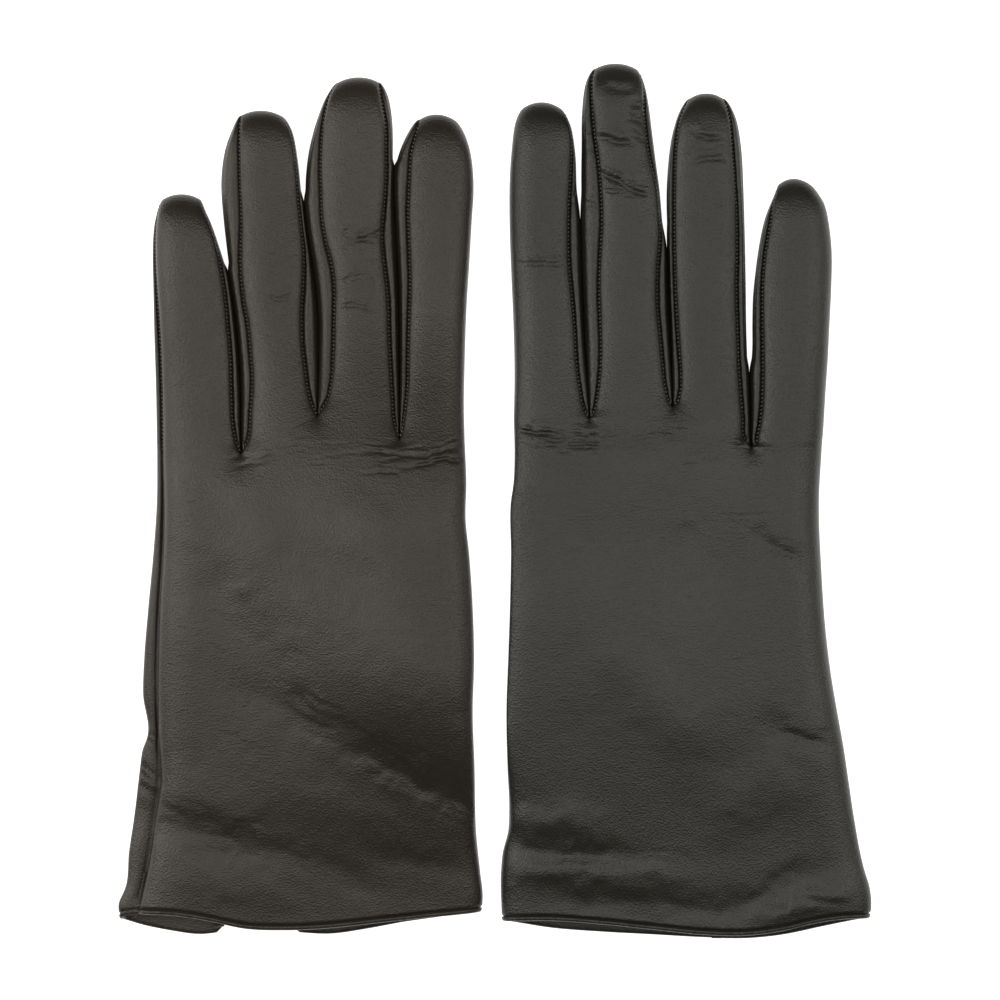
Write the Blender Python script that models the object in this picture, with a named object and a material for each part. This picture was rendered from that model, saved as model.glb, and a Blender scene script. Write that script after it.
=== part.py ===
"""A pair of leather dress gloves lying side by side on a flat surface, backs up.

Each glove is built the way a glover cuts it: a trank (the leather that wraps back and palm, with a
tab for each finger), fourchettes (the side walls between the fingers), a thumb sewn into an oval
hole in the palm, a binding round the cuff and a knitted lining inside. The thumb lies folded under
the palm, so the palm arches over it and comes down to the surface at the cuff and the fingertips.

+Z is up, +Y runs from the cuff to the fingertips, and both gloves are drawn in one local frame, in
millimetres, whose X runs from the index side to the little-finger side. The left glove mirrors it.
"""

import math

import bmesh
import bpy

MM = 0.001

# Layers
LEATHER = 1.0
LINING = 0.6
EASE = 0.35  # free space between two layers
PARTING = 0.4  # the gap where a back piece meets its palm piece

# Thickness of the glove from its palm face to its back face
CUFF_THICK = 10.5
PALM_THICK = 13.0
KNUCKLE_THICK = 12.5
TIP_THICK = 11.0

# The thumb, folded under the palm. It is sewn round a hole in the palm, centred over its root
THUMB_THICK = 9.6
THUMB_BASE_THICK = 8.4
THUMB_ROOT = (25.5, -72.0)
THUMB_TIP = (41.0, 2.0)
THUMB_HALF_WIDTHS = (13.0, 12.4, 11.0)  # at the root, at mid length, at the shoulder
THUMB_TIP_LENGTH = 11.0
THUMB_HINGE = 23.5  # from the root, along the thumb
THUMB_HOLE_ROWS = (2, 3)  # rows and columns of the palm's grid left open over the thumb's root
THUMB_HOLE_COLUMNS = (2, 3, 4)
THUMB_RING_HALF = (12.6, 18.0)  # the collar's top ring, lapped under the hole's edge
THUMB_RING_POWER = 4.0
THUMB_RING_CLEAR = 0.8

# How far the thumb lifts the palm, and where: full between the two inner values of each pair
LIE_HEIGHT = 10.8
LIE_X = (43.0, 76.0)
LIE_Y_CUFF = (-103.0, -62.0)
LIE_Y_FINGERS = (-12.0, 58.0)

# Finger section: an angle of 0 is the side, 90 the back
SEAM_ANGLE = 35.5
SEAM_OPEN = 3.0
SECTION_POWER = 3.0
SHOULDER_SHARE = 0.95  # the width where the tip begins, as a share of the widest
TIP_LEAN = 0.6  # how much of the tip's sideways offset the finger already has there
TIP_BLUNT = 0.45
BACK_POWER = 3.5  # the roundness of the back of the hand, from side to side
PALM_RISE = 40.0  # length over which the cuff thickens into the palm
FLAT_SHARE = 0.75  # share of the palm's half width that is flat

# Knuckle joints: the stubs stop short of the finger, to leave it room to lift and to bend
BACK_ROOM = 7.5
PALM_ROOM = 2.2
FORK_RISE = 0.16  # how far a fourchette's root stays clear of the palm and back, in thicknesses
FORK_CLEAR = 1.0  # and how far it stays from the crotch
FORK_BEND = 0.6  # how near the crotch it has come halfway across
HINGE_CLEAR = 0.3

# Grids
FINGER_COLUMNS = 4
FINGER_ROWS = 4
TIP_ANGLES = (25.0, 50.0, 70.0, 90.0)
BODY_ROWS = 9
LINING_SIDES = 10
LINING_START = 0.55  # the lining's first row, as a share of the way from the hem to the next row
LINING_SHORT = 0.15  # how far it stops short of the crotches, in rows
VENT_COLUMN = 11
VENT_ROWS = 3
VENT_SPREAD = 4  # columns on each side that the slit pushes aside

BINDING_RADIUS = 1.15
BINDING_CLEAR = 0.3

FINISHES = {
    "leather": ((0.045, 0.042, 0.037), 0.42),
    "lining": ((0.03, 0.03, 0.032), 0.9),
}

FINGER_NAMES = ("index", "middle", "ring", "little")

# One glove's outline. A finger is (its limits at its base, (y, limits) where it is widest, (x, y)
# of its tip, tip length, y of its knuckle joint). Edges are (y, x) stations, cuff to crotch. The
# vent, the slit in the palm at the cuff, hangs open on the left glove and is closed on the right.
RIGHT = {
    "fingers": (
        ((5.6, 25.7), (80.0, 4.2, 24.0), (13.6, 113.3), 12.0, 35.0),
        ((27.6, 49.0), (82.0, 25.0, 48.0), (34.5, 125.0), 13.0, 38.0),
        ((51.0, 71.9), (82.0, 49.2, 71.4), (60.5, 115.8), 12.0, 38.0),
        ((73.8, 94.0), (66.0, 74.6, 96.2), (86.2, 91.5), 13.0, 28.0),
    ),
    "crotches": ((26.6, 22.5), (50.0, 26.0), (72.8, 15.0)),
    "vent_half_width": 0.7,
    "index_edge": ((-118.0, 2.4), (-96.0, 4.0), (-50.0, 4.2), (0.0, 5.0), (22.0, 5.6)),
    "little_edge": ((-118.0, 107.3), (-90.0, 102.5), (-55.0, 97.0), (-10.0, 92.9), (14.0, 93.3)),
    "hem_back": ((2.4, -118.0), (30.0, -118.2), (60.0, -121.0), (90.0, -118.6), (107.3, -117.2)),
    "hem_palm": ((2.4, -118.0), (20.0, -119.8), (62.0, -122.3), (90.0, -120.2), (107.3, -117.2)),
}
LEFT = {
    "fingers": (
        ((8.4, 25.6), (86.0, 6.0, 28.2), (16.5, 109.8), 12.0, 30.0),
        ((28.0, 49.2), (90.0, 29.2, 53.2), (38.6, 120.4), 13.0, 36.0),
        ((51.2, 71.2), (88.0, 55.0, 77.2), (66.5, 111.0), 12.0, 36.0),
        ((73.4, 95.9), (62.0, 77.2, 97.2), (89.5, 86.8), 12.0, 26.0),
    ),
    "crotches": ((26.8, 17.5), (50.1, 24.0), (72.2, 13.5)),
    "vent_half_width": 10.0,
    "index_edge": ((-118.0, 3.2), (-96.0, 5.0), (-50.0, 5.8), (0.0, 8.0), (17.0, 8.4)),
    "little_edge": ((-118.0, 107.3), (-90.0, 102.2), (-60.0, 98.9), (-10.0, 96.0), (13.0, 95.8)),
    "hem_back": ((3.2, -116.5), (30.0, -118.2), (60.0, -120.6), (90.0, -117.8), (107.3, -116.8)),
    "hem_palm": ((3.2, -116.5), (20.0, -119.6), (55.0, -122.3), (88.0, -121.5), (107.3, -116.8)),
}


def smooth(t):
    """0 to 1, level at both ends."""
    t = max(0.0, min(1.0, t))
    return t * t * (3 - 2 * t)


def mix(a, b, t):
    return a + (b - a) * t


def through(stations, y):
    """The value at y of a smooth curve through (y, value) stations."""
    stations = sorted(stations)
    y = max(stations[0][0], min(stations[-1][0], y))
    i = max(k for k in range(len(stations) - 1) if stations[k][0] <= y or k == 0)

    def slope(k):
        a, b = stations[max(0, k - 1)], stations[min(len(stations) - 1, k + 1)]
        return (b[1] - a[1]) / (b[0] - a[0])

    (y0, v0), (y1, v1) = stations[i], stations[i + 1]
    span = y1 - y0
    t = (y - y0) / span
    curve = (2 * t**3 - 3 * t**2 + 1) * v0 + (3 * t**2 - 2 * t**3) * v1
    return curve + span * ((t**3 - 2 * t**2 + t) * slope(i) + (t**3 - t**2) * slope(i + 1))


def lie(x, y):
    """How far the surface under the palm lies above the table at (x, y)."""
    across = 1 - smooth((x - LIE_X[0]) / (LIE_X[1] - LIE_X[0]))
    rise = smooth((y - LIE_Y_CUFF[0]) / (LIE_Y_CUFF[1] - LIE_Y_CUFF[0]))
    fall = 1 - smooth((y - LIE_Y_FINGERS[0]) / (LIE_Y_FINGERS[1] - LIE_Y_FINGERS[0]))
    return LIE_HEIGHT * across * rise * fall


def signed_power(value, power):
    return math.copysign(abs(value) ** power, value)


class Finger:
    """A finger's shape: a superellipse section along a tapering outline that ends in a blunt tip."""

    def __init__(self, base, widest, tip, tip_length, knuckle):
        self.knuckle = knuckle
        self.tip = tip
        self.tip_length = tip_length
        self.shoulder = tip[1] - tip_length
        widest_y, low, high = widest
        half = (high - low) / 2 * SHOULDER_SHARE
        lean = mix((low + high) / 2, tip[0], TIP_LEAN)
        self.low = ((knuckle, base[0]), (widest_y, low), (self.shoulder, lean - half))
        self.high = ((knuckle, base[1]), (widest_y, high), (self.shoulder, lean + half))

    def thick(self, y):
        return mix(KNUCKLE_THICK, TIP_THICK, (y - self.knuckle) / (self.shoulder - self.knuckle))

    def point(self, along, angle, inset, shift=0.0):
        """A point of the skin. along is a y up to the shoulder, or (tip angle,) past it."""
        past = isinstance(along, tuple)
        y = self.shoulder if past else along
        low, high = through(self.low, y), through(self.high, y)
        centre, half = (low + high) / 2, (high - low) / 2 - inset
        middle = self.thick(y) / 2
        height = middle - inset
        if past:
            turn = math.radians(along[0])
            y += (self.tip_length - inset) * math.sin(turn)
            centre = mix(centre, self.tip[0], math.sin(turn))
            half *= mix(TIP_BLUNT, 1, math.cos(turn))
            height *= max(0.0, math.cos(turn))
        a = math.radians(angle)
        x = centre + half * signed_power(math.cos(a), 2 / SECTION_POWER)
        z = middle + height * signed_power(math.sin(a), 2 / SECTION_POWER)
        return x, y, z + lie(x, y) + shift

    def rows(self, start, last_angle=90.0):
        step = (self.shoulder - start) / FINGER_ROWS
        straight = [start + step * k for k in range(FINGER_ROWS + 1)]
        return straight + [(angle,) for angle in TIP_ANGLES if angle <= last_angle]

    def hinge(self):
        """The middle and height of the joint's axis, along the finger's lowest base edge."""
        low, high = through(self.low, self.knuckle), through(self.high, self.knuckle)
        height = min(lie(low, self.knuckle), lie(high, self.knuckle))
        return (low + high) / 2, self.knuckle, height


class Body:
    """The glove from cuff to crotches: a wide flat tube."""

    def __init__(self, spec):
        self.spec = spec
        self.fingers = [Finger(*f) for f in spec["fingers"]]
        ends = [spec["index_edge"][-1], *[(y, x) for x, y in spec["crotches"]]]
        ends.append(spec["little_edge"][-1])
        self.joins = [(x, y) for y, x in ends]  # the crotches, with the outer edge at each side

    def columns(self):
        return FINGER_COLUMNS * len(self.fingers)

    def across(self, column):
        """The column's place as a share of the width, and its y at the crotch line."""
        k = min(column // FINGER_COLUMNS, len(self.fingers) - 1)
        part = (column - k * FINGER_COLUMNS) / FINGER_COLUMNS
        x = mix(self.joins[k][0], self.joins[k + 1][0], part)
        y = mix(self.joins[k][1], self.joins[k + 1][1], part)
        return (x - self.joins[0][0]) / (self.joins[-1][0] - self.joins[0][0]), y

    def edges(self, y):
        return through(self.spec["index_edge"], y), through(self.spec["little_edge"], y)

    def point(self, share, y, side, inset, shift=0.0):
        """side is 1 on the back and -1 on the palm."""
        low, high = self.edges(y)
        v = 2 * share - 1
        half = (high - low) / 2 - inset
        x = (low + high) / 2 + half * v
        middle = mix(CUFF_THICK, PALM_THICK, smooth((y - LIE_Y_CUFF[0]) / PALM_RISE)) / 2
        if side > 0:
            height = max(0.0, 1 - abs(v) ** BACK_POWER) ** (1 / BACK_POWER)
        else:
            bend = max(0.0, abs(v) - FLAT_SHARE) / (1 - FLAT_SHARE)
            height = math.sqrt(max(0.0, 1 - bend * bend))
        z = middle + side * (middle - inset) * height
        return x, y, z + lie(x, y) + shift

    def hem(self, share, side):
        stations = self.spec["hem_back" if side > 0 else "hem_palm"]
        low, high = stations[0][0], stations[-1][0]
        return through(stations, mix(low, high, share))

    def station(self, row, column, side):
        """The share and y of a grid point. Only the first row, the hem, differs back from palm."""
        share, top = self.across(column)
        common = (self.hem(share, 1) + self.hem(share, -1)) / 2
        start = self.hem(share, side) if row < 1 else common
        return share, mix(start, top, row / BODY_ROWS)

    def vent_shift(self, row, column, edge):
        """How far the slit at the cuff opens the palm's columns on this side of it."""
        steps = column - VENT_COLUMN
        way = edge if steps == 0 else math.copysign(1, steps)
        across = max(0.0, 1 - abs(steps) / VENT_SPREAD)
        along = max(0.0, 1 - row / VENT_ROWS)
        width = self.joins[-1][0] - self.joins[0][0]
        return way * across * along * self.spec["vent_half_width"] / width


def finger_angles(k, side):
    """The first and last section angle of finger k's back (1) or palm (-1) tab, index side first."""
    first = 180.0 if k == 0 else 180.0 - side * SEAM_ANGLE
    last = 0.0 if k == len(FINGER_NAMES) - 1 else side * SEAM_ANGLE
    return first, last if side > 0 else 360.0 + last


def make_object(name, points, faces, material, hub, mirror, origin):
    """An object from points in the glove's frame, hung on its joint's or its glove's empty."""
    side = -1 if mirror else 1
    mesh = bpy.data.meshes.new(name)
    bm = bmesh.new()
    verts = [
        bm.verts.new(((side * x - origin[0]) * MM, (y - origin[1]) * MM, (z - origin[2]) * MM))
        for x, y, z in points
    ]
    for face in faces:
        bm.faces.new([verts[i] for i in face])
    if bm.calc_volume(signed=True) < 0:
        bmesh.ops.reverse_faces(bm, faces=bm.faces)
    bm.to_mesh(mesh)
    bm.free()
    mesh.shade_smooth()
    mesh.set_sharp_from_angle(angle=math.radians(40))
    mesh.materials.append(material)
    obj = bpy.data.objects.new(name, mesh)
    bpy.context.scene.collection.objects.link(obj)
    obj.parent = hub
    return obj


def slab(outer, inner, cells):
    """A closed solid between two like skins. cells are quads of keys shared by both skins."""
    keys = sorted({key for cell in cells for key in cell})
    index = {key: i for i, key in enumerate(keys)}
    points = [outer(key) for key in keys] + [inner(key) for key in keys]
    faces = [[index[key] for key in cell] for cell in cells]
    forward = {(f[i], f[(i + 1) % len(f)]) for f in faces for i in range(len(f))}
    rim = [(a, b) for a, b in forward if (b, a) not in forward]
    lift = len(keys)
    faces += [[i + lift for i in reversed(face)] for face in faces]
    faces += [[b, a, a + lift, b + lift] for a, b in sorted(rim)]
    return points, faces


def grid_cells(rows, columns, closed=False):
    """Quads of a grid. A closed grid runs round and meets itself."""
    cells = []
    for r in range(rows):
        for c in range(columns):
            after = (c + 1) % columns if closed else c + 1
            cells.append([(r, c), (r, after), (r + 1, after), (r + 1, c)])
    return cells


def finger_panel(finger, first, last, columns, start, inset, depth, shift=0.0, last_angle=90.0):
    rows = finger.rows(start, last_angle)

    def skin(extra):
        def at(key):
            angle = mix(first, last, key[1] / columns)
            return finger.point(rows[key[0]], angle, extra, shift)

        return at

    cells = grid_cells(len(rows) - 1, columns)
    return slab(skin(inset), skin(inset + depth), cells)


def finger_sock(finger, start, inset, depth):
    """The lining of a finger: a tube closed at the tip and open at its base."""
    rows = finger.rows(start, 70.0)

    def skin(extra):
        def at(key):
            return finger.point(rows[key[0]], 360.0 * key[1] / LINING_SIDES, extra)

        return at

    cells = grid_cells(len(rows) - 1, LINING_SIDES, closed=True)
    cells.append([(len(rows) - 1, c) for c in range(LINING_SIDES)])
    return slab(skin(inset), skin(inset + depth), cells)


def trank_panel(body, side):
    """The back or the palm of the trank, with a stub for each finger and, on the palm, the vent."""
    columns = body.columns()
    stub_row = BODY_ROWS + 1

    def split(row, column):
        """Whether a column is two separate edges at this row: between stubs, and along the vent."""
        between = column % FINGER_COLUMNS == 0 and 0 < column < columns
        vent = side < 0 and column == VENT_COLUMN and row < VENT_ROWS
        return (row == stub_row and between) or vent

    def name(row, column, edge):
        return (row, column, edge if split(row, column) else 0)

    def skin(inset):
        def at(key):
            row, column, edge = key
            shift = PARTING if side > 0 else 0.0
            if row == stub_row:
                k = (column - 1) // FINGER_COLUMNS if edge < 0 else column // FINGER_COLUMNS
                k = max(0, min(len(body.fingers) - 1, k))
                finger = body.fingers[k]
                first, last = finger_angles(k, side)
                angle = mix(first, last, (column - k * FINGER_COLUMNS) / FINGER_COLUMNS)
                x, y, z = finger.point(finger.knuckle, angle, inset, shift)
                room = mix(PALM_ROOM, BACK_ROOM, (z - finger.hinge()[2]) / KNUCKLE_THICK)
                return x, y - room, z - lie(x, y) + lie(x, y - room)
            share, y = body.station(row, column, side)
            if side < 0:
                share += body.vent_shift(row, column, edge)
            return body.point(share, y, side, inset, shift)

        return at

    cells = []
    for r in range(stub_row):
        for c in range(columns):
            over_thumb = r in THUMB_HOLE_ROWS and c in THUMB_HOLE_COLUMNS
            if side < 0 and over_thumb:
                continue
            near = [name(r, c, 1), name(r, c + 1, -1)]
            far = [name(r + 1, c + 1, -1), name(r + 1, c, 1)]
            cells.append(near + far)
    return slab(skin(0.0), skin(LEATHER), cells)


def body_sock(body):
    """The lining of the body: a tube from just inside the cuff to just short of the crotches."""
    columns = body.columns()
    inset = LEATHER + EASE

    def skin(extra):
        def at(key):
            side = 1 if key[1] <= columns else -1
            column = key[1] if side > 0 else 2 * columns - key[1]
            row = max(LINING_START, min(BODY_ROWS - LINING_SHORT, key[0]))
            share, y = body.station(row, column, side)
            return body.point(share, y, side, extra)

        return at

    cells = grid_cells(BODY_ROWS, 2 * columns, closed=True)
    return slab(skin(inset), skin(inset + LINING), cells)


def fork(body, k):
    """The root of the fourchette between fingers k and k + 1: a wall bent round the crotch."""
    near, far = body.fingers[k], body.fingers[k + 1]
    crotch_x, crotch_y = body.joins[k + 1]
    bottom_y = crotch_y + FORK_CLEAR
    near_x, near_y = through(near.high, near.knuckle), near.knuckle - BACK_ROOM
    far_x, far_y = through(far.low, far.knuckle), far.knuckle - BACK_ROOM
    slit = [
        (near_x, near_y),
        ((near_x + crotch_x) / 2, mix(near_y, bottom_y, FORK_BEND)),
        (crotch_x, bottom_y),
        ((far_x + crotch_x) / 2, mix(far_y, bottom_y, FORK_BEND)),
        (far_x, far_y),
    ]
    inward = [(-1, 0), (-0.9, -0.4), (0, -1), (0.9, -0.4), (1, 0)]

    def skin(depth):
        def at(key):
            (x, y), (dx, dy) = slit[key[1]], inward[key[1]]
            x, y = x + dx * depth, y + dy * depth
            height = KNUCKLE_THICK * mix(FORK_RISE, 1 - FORK_RISE, key[0])
            return x, y, height + lie(x, y)

        return at

    return slab(skin(0.0), skin(LEATHER), grid_cells(1, len(slit) - 1))


class Thumb:
    """The thumb's shape, laid along a slanted line under the palm."""

    def __init__(self):
        dx, dy = THUMB_TIP[0] - THUMB_ROOT[0], THUMB_TIP[1] - THUMB_ROOT[1]
        self.length = math.hypot(dx, dy)
        self.along = (dx / self.length, dy / self.length)
        self.shoulder = self.length - THUMB_TIP_LENGTH
        root, middle, end = THUMB_HALF_WIDTHS
        self.half = ((0.0, root), (self.length / 2, middle), (self.shoulder, end))

    def place(self, s, v, z):
        ax, ay = self.along
        return THUMB_ROOT[0] + s * ax + v * ay, THUMB_ROOT[1] + s * ay - v * ax, z

    def thick(self, s):
        return mix(THUMB_BASE_THICK, THUMB_THICK, smooth((s - THUMB_HINGE) / 25))

    def point(self, along, angle, inset, shift=0.0):
        past = isinstance(along, tuple)
        s = self.shoulder if past else along
        half = through(self.half, s) - inset
        middle = self.thick(s) / 2
        height = middle - inset
        if past:
            turn = math.radians(along[0])
            s += (THUMB_TIP_LENGTH - inset) * math.sin(turn)
            half *= mix(TIP_BLUNT, 1, math.cos(turn))
            height *= max(0.0, math.cos(turn))
        a = math.radians(angle)
        v = half * signed_power(math.cos(a), 2 / SECTION_POWER)
        return self.place(s, v, middle + height * signed_power(math.sin(a), 2 / SECTION_POWER) + shift)

    def rows(self, start, last_angle=90.0):
        step = (self.shoulder - start) / FINGER_ROWS
        straight = [start + step * k for k in range(FINGER_ROWS + 1)]
        return straight + [(angle,) for angle in TIP_ANGLES if angle <= last_angle]


def thumb_collar(thumb):
    """The thumb's root: a sleeve that turns from the ring under the palm's hole into the thumb."""
    around = 12
    rows = 4

    def skin(inset):
        def at(key):
            angle = 360.0 * key[1] / around
            a = math.radians(angle)
            ring_x = (THUMB_RING_HALF[0] - inset) * signed_power(math.cos(a), 2 / THUMB_RING_POWER)
            ring_y = (THUMB_RING_HALF[1] - inset) * signed_power(math.sin(a), 2 / THUMB_RING_POWER)
            x, y = THUMB_ROOT[0] + ring_x, THUMB_ROOT[1] + ring_y
            ring = (x, y, lie(x, y) - THUMB_RING_CLEAR)
            end = thumb.point(THUMB_HINGE - HINGE_CLEAR, angle, inset)
            t = key[0] / rows
            fall = t * t if math.sin(a) < 0 else t
            return mix(ring[0], end[0], t), mix(ring[1], end[1], t), mix(ring[2], end[2], fall)

        return at

    return slab(skin(0.0), skin(LEATHER), grid_cells(rows, around, closed=True))


def binding(name, body, material, hub, mirror, origin):
    """The bead sewn round the cuff, from one side of the vent to the other."""
    radius = BINDING_RADIUS
    side = -1 if mirror else 1
    last = body.columns()

    def at(column, face, edge=0):
        share, y = body.station(0, column, face)
        share += body.vent_shift(0, column, edge) if face < 0 else 0.0
        x, y, z = body.point(share, y, face, radius)
        return x, y - radius - BINDING_CLEAR, z

    palm_little = [at(column, -1, 1) for column in range(VENT_COLUMN, last)]
    back = [at(column, 1) for column in range(last, -1, -1)]
    palm_index = [at(column, -1, -1) for column in range(1, VENT_COLUMN + 1)]
    route = palm_little + back + palm_index
    curve = bpy.data.curves.new(name, "CURVE")
    curve.dimensions = "3D"
    curve.bevel_depth = radius * MM
    curve.bevel_resolution = 1
    curve.use_fill_caps = True
    spline = curve.splines.new("POLY")
    spline.points.add(len(route) - 1)
    for point, (x, y, z) in zip(spline.points, route):
        place = ((side * x - origin[0]) * MM, (y - origin[1]) * MM, (z - origin[2]) * MM)
        point.co = (*place, 1.0)
    curve.materials.append(material)
    obj = bpy.data.objects.new(name, curve)
    bpy.context.scene.collection.objects.link(obj)
    obj.parent = hub
    return obj


def make_material(name, colour, roughness):
    material = bpy.data.materials.new(name)
    material.use_nodes = True
    shader = material.node_tree.nodes["Principled BSDF"]
    shader.inputs["Base Color"].default_value = (*colour, 1.0)
    shader.inputs["Roughness"].default_value = roughness
    shader.inputs["Metallic"].default_value = 0.0
    return material


def make_empty(name, place, parent=None):
    """An empty at a place in millimetres, given in the world's frame."""
    empty = bpy.data.objects.new(name, None)
    bpy.context.scene.collection.objects.link(empty)
    empty.empty_display_size = 0.01
    empty.parent = parent
    start = parent["place"] if parent else (0.0, 0.0, 0.0)
    empty.location = [(p - q) * MM for p, q in zip(place, start)]
    empty["place"] = place
    return empty


def build_glove(side_name, spec, mirror):
    body = Body(spec)
    thumb = Thumb()
    flip = -1 if mirror else 1
    glove_at = (0.0, 0.0, 0.0)
    hub = make_empty(f"{side_name}_glove", glove_at)

    def add(name, shape, finish, holder=hub):
        name = f"{side_name}_{name}"
        material = make_material(f"{name}_{finish}", *FINISHES[finish])
        make_object(name, *shape, material, holder, mirror, tuple(holder["place"]))

    add("trank_back", trank_panel(body, 1), "leather")
    add("trank_palm", trank_panel(body, -1), "leather")
    add("lining_body", body_sock(body), "lining")
    name = f"{side_name}_cuff_binding"
    material = make_material(f"{name}_leather", *FINISHES["leather"])
    binding(name, body, material, hub, mirror, glove_at)
    for k in range(len(body.fingers) - 1):
        pair = f"{FINGER_NAMES[k]}_{FINGER_NAMES[k + 1]}"
        add(f"fourchette_root_{pair}", fork(body, k), "leather")

    reach = SEAM_ANGLE - SEAM_OPEN
    sock_inset = LEATHER + EASE
    for k, finger in enumerate(body.fingers):
        name = FINGER_NAMES[k]
        x, y, z = finger.hinge()
        holder = make_empty(f"{side_name}_{name}_knuckle", (flip * x, y, z), hub)
        start = finger.knuckle
        for side, word in ((1, "back"), (-1, "palm")):
            first, last = finger_angles(k, side)
            shift = PARTING if side > 0 else 0.0
            shape = finger_panel(finger, first, last, FINGER_COLUMNS, start, 0.0, LEATHER, shift)
            add(f"{name}_{word}", shape, "leather", holder)
        if k > 0:
            shape = finger_panel(finger, 180 - reach, 180 + reach, 2, start, 0.0, LEATHER, 0.0, 50.0)
            add(f"{name}_fourchette_{FINGER_NAMES[k - 1]}_side", shape, "leather", holder)
        if k < len(body.fingers) - 1:
            shape = finger_panel(finger, -reach, reach, 2, start, 0.0, LEATHER, 0.0, 50.0)
            add(f"{name}_fourchette_{FINGER_NAMES[k + 1]}_side", shape, "leather", holder)
        add(f"{name}_lining", finger_sock(finger, start + 0.5, sock_inset, LINING), "lining", holder)

    x, y, z = thumb.place(THUMB_HINGE, 0.0, 0.0)
    holder = make_empty(f"{side_name}_thumb_crease", (flip * x, y, z), hub)
    add("thumb_collar", thumb_collar(thumb), "leather")
    upper = finger_panel(thumb, 180.0, 0.0, 6, THUMB_HINGE, 0.0, LEATHER, PARTING)
    lower = finger_panel(thumb, 180.0, 360.0, 6, THUMB_HINGE, 0.0, LEATHER, 0.0)
    add("thumb_upper", upper, "leather", holder)
    add("thumb_lower", lower, "leather", holder)
    add("thumb_lining", finger_sock(thumb, THUMB_HINGE + 0.5, sock_inset, LINING), "lining", holder)


def main():
    for obj in list(bpy.data.objects):
        bpy.data.objects.remove(obj)
    build_glove("left", LEFT, True)
    build_glove("right", RIGHT, False)


main()
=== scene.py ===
"""The looks of a pair of leather gloves that lie side by side, backs up, on a pale floor.

Every piece is a sewn part of a glove: the trank (the leather of back and palm), the fourchettes
between the fingers, the thumb, the stitching and the knitted lining. Shapes are worked out in one
local frame for both gloves, in millimetres, whose X runs from the index side to the little-finger
side, and the left glove mirrors it. Heights follow the frame.
"""

import math

import bpy
import numpy as np
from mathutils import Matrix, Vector


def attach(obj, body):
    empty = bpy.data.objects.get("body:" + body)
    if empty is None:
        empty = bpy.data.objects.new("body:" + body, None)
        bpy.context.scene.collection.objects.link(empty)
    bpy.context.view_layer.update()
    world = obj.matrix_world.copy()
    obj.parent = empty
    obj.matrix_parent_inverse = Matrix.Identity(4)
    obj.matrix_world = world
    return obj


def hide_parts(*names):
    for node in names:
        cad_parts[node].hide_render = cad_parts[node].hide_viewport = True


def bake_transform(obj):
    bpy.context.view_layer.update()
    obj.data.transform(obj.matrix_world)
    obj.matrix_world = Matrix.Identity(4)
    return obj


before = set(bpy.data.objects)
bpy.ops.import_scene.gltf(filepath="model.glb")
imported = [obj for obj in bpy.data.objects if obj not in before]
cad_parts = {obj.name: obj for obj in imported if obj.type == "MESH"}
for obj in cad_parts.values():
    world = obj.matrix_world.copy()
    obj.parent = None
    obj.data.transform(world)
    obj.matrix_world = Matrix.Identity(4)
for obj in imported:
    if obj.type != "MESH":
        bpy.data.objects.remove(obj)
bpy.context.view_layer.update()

MM = 0.001
FINGERS = ("index", "middle", "ring", "little")

# How the palm arches over the folded thumb, as in the frame. Pairs such as LIE_X are the two ends
# between which something fades.
LIE_HEIGHT = 10.8
LIE_X = (43.0, 76.0)
LIE_Y_CUFF = (-103.0, -62.0)
LIE_Y_FINGERS = (-12.0, 58.0)
# The back of the hand spans that rise more loosely
RISE = {"left": 9.6, "right": 2.8}
RISE_X = (12.0, 98.0)
RISE_Y_CUFF = {"left": (-119.0, -42.0), "right": (-119.0, -20.0)}
# On the left glove part of the rise falls away along a diagonal, y = FALL_SLOPE x + one of the ends
FALL_SHARE = {"left": 0.34, "right": 0.0}
FALL_SLOPE = 0.6
FALL_ENDS = (-106.0, -68.0)

# The glove's thickness at stations along its length, and where its layers lie
THICKNESS = ((-125, 9.6), (-103, 10.5), (-63, 12.8), (-10, 12.8), (26, 12.4), (60, 11.8), (120, 10.6))
FACING = 1.3  # how far inside the outer face the turned-in hem lies
FACING_LENGTH = 12.0
LINING_INSET = 1.9

# The turned hem in profile: the stations of its hidden leg, its rolled edge, and the dent of its seam
# as (distance from the edge, depth below the face)
FACING_STATIONS = (FACING_LENGTH, 7.0, 3.0, 1.2)
HEM_ROLL = 0.85
HEM_ROLL_STEPS = 8
INTO_HEM_SEAM = [(1.05, 0.0), (1.2, 0.12), (1.35, 0.42), (1.5, 0.5)]
OUT_OF_HEM_SEAM = [(1.65, 0.42), (1.8, 0.12), (2.05, 0.0), (2.6, 0.0)]

# Sections: the roundness of a padded panel, and the seam heights as shares of the thickness
PANEL_POWER = 2.25
BACK_SEAM = 0.80
PALM_SEAM = 0.20
PALM_SEAM_INSET = 1.4
PALM_SEAM_START = 12.0
SIDE_SEAM = 0.66
FOURCHETTE_POWER = 2.3
FOURCHETTE_CREASE = 0.45
FOURCHETTE_CREASE_STARTS = (8.0, 28.0)
RELIEF_REACH = 1.6  # the larger, the nearer to the seams the creases run
TIP_CAP = 14.0  # over this length the back and palm come together at a fingertip
TIP_POWER = 2.4
TIP_ARCH = 1.4
TIP_ARCH_POWER = 2.2
GROOVE = 1.5  # the depth of a finger seam's groove
GROOVE_WIDTH = 0.85
GROOVE_START = 2.0
CLOSING_GAP = (0.9, 1.3)  # sides nearer than the first touch, and past the second they stay apart
CLOSING_OVERLAP = 0.05
CLOSING_START = 4.0  # the overlap grows over this length from the crotch
SIDE_GROOVE = 1.1  # the depth of the side seam's groove
SIDE_GROOVE_CUFF = 0.6  # how much deeper it is at the cuff
SIDE_GROOVE_DEEPENS = (-40.0, -75.0)

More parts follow.
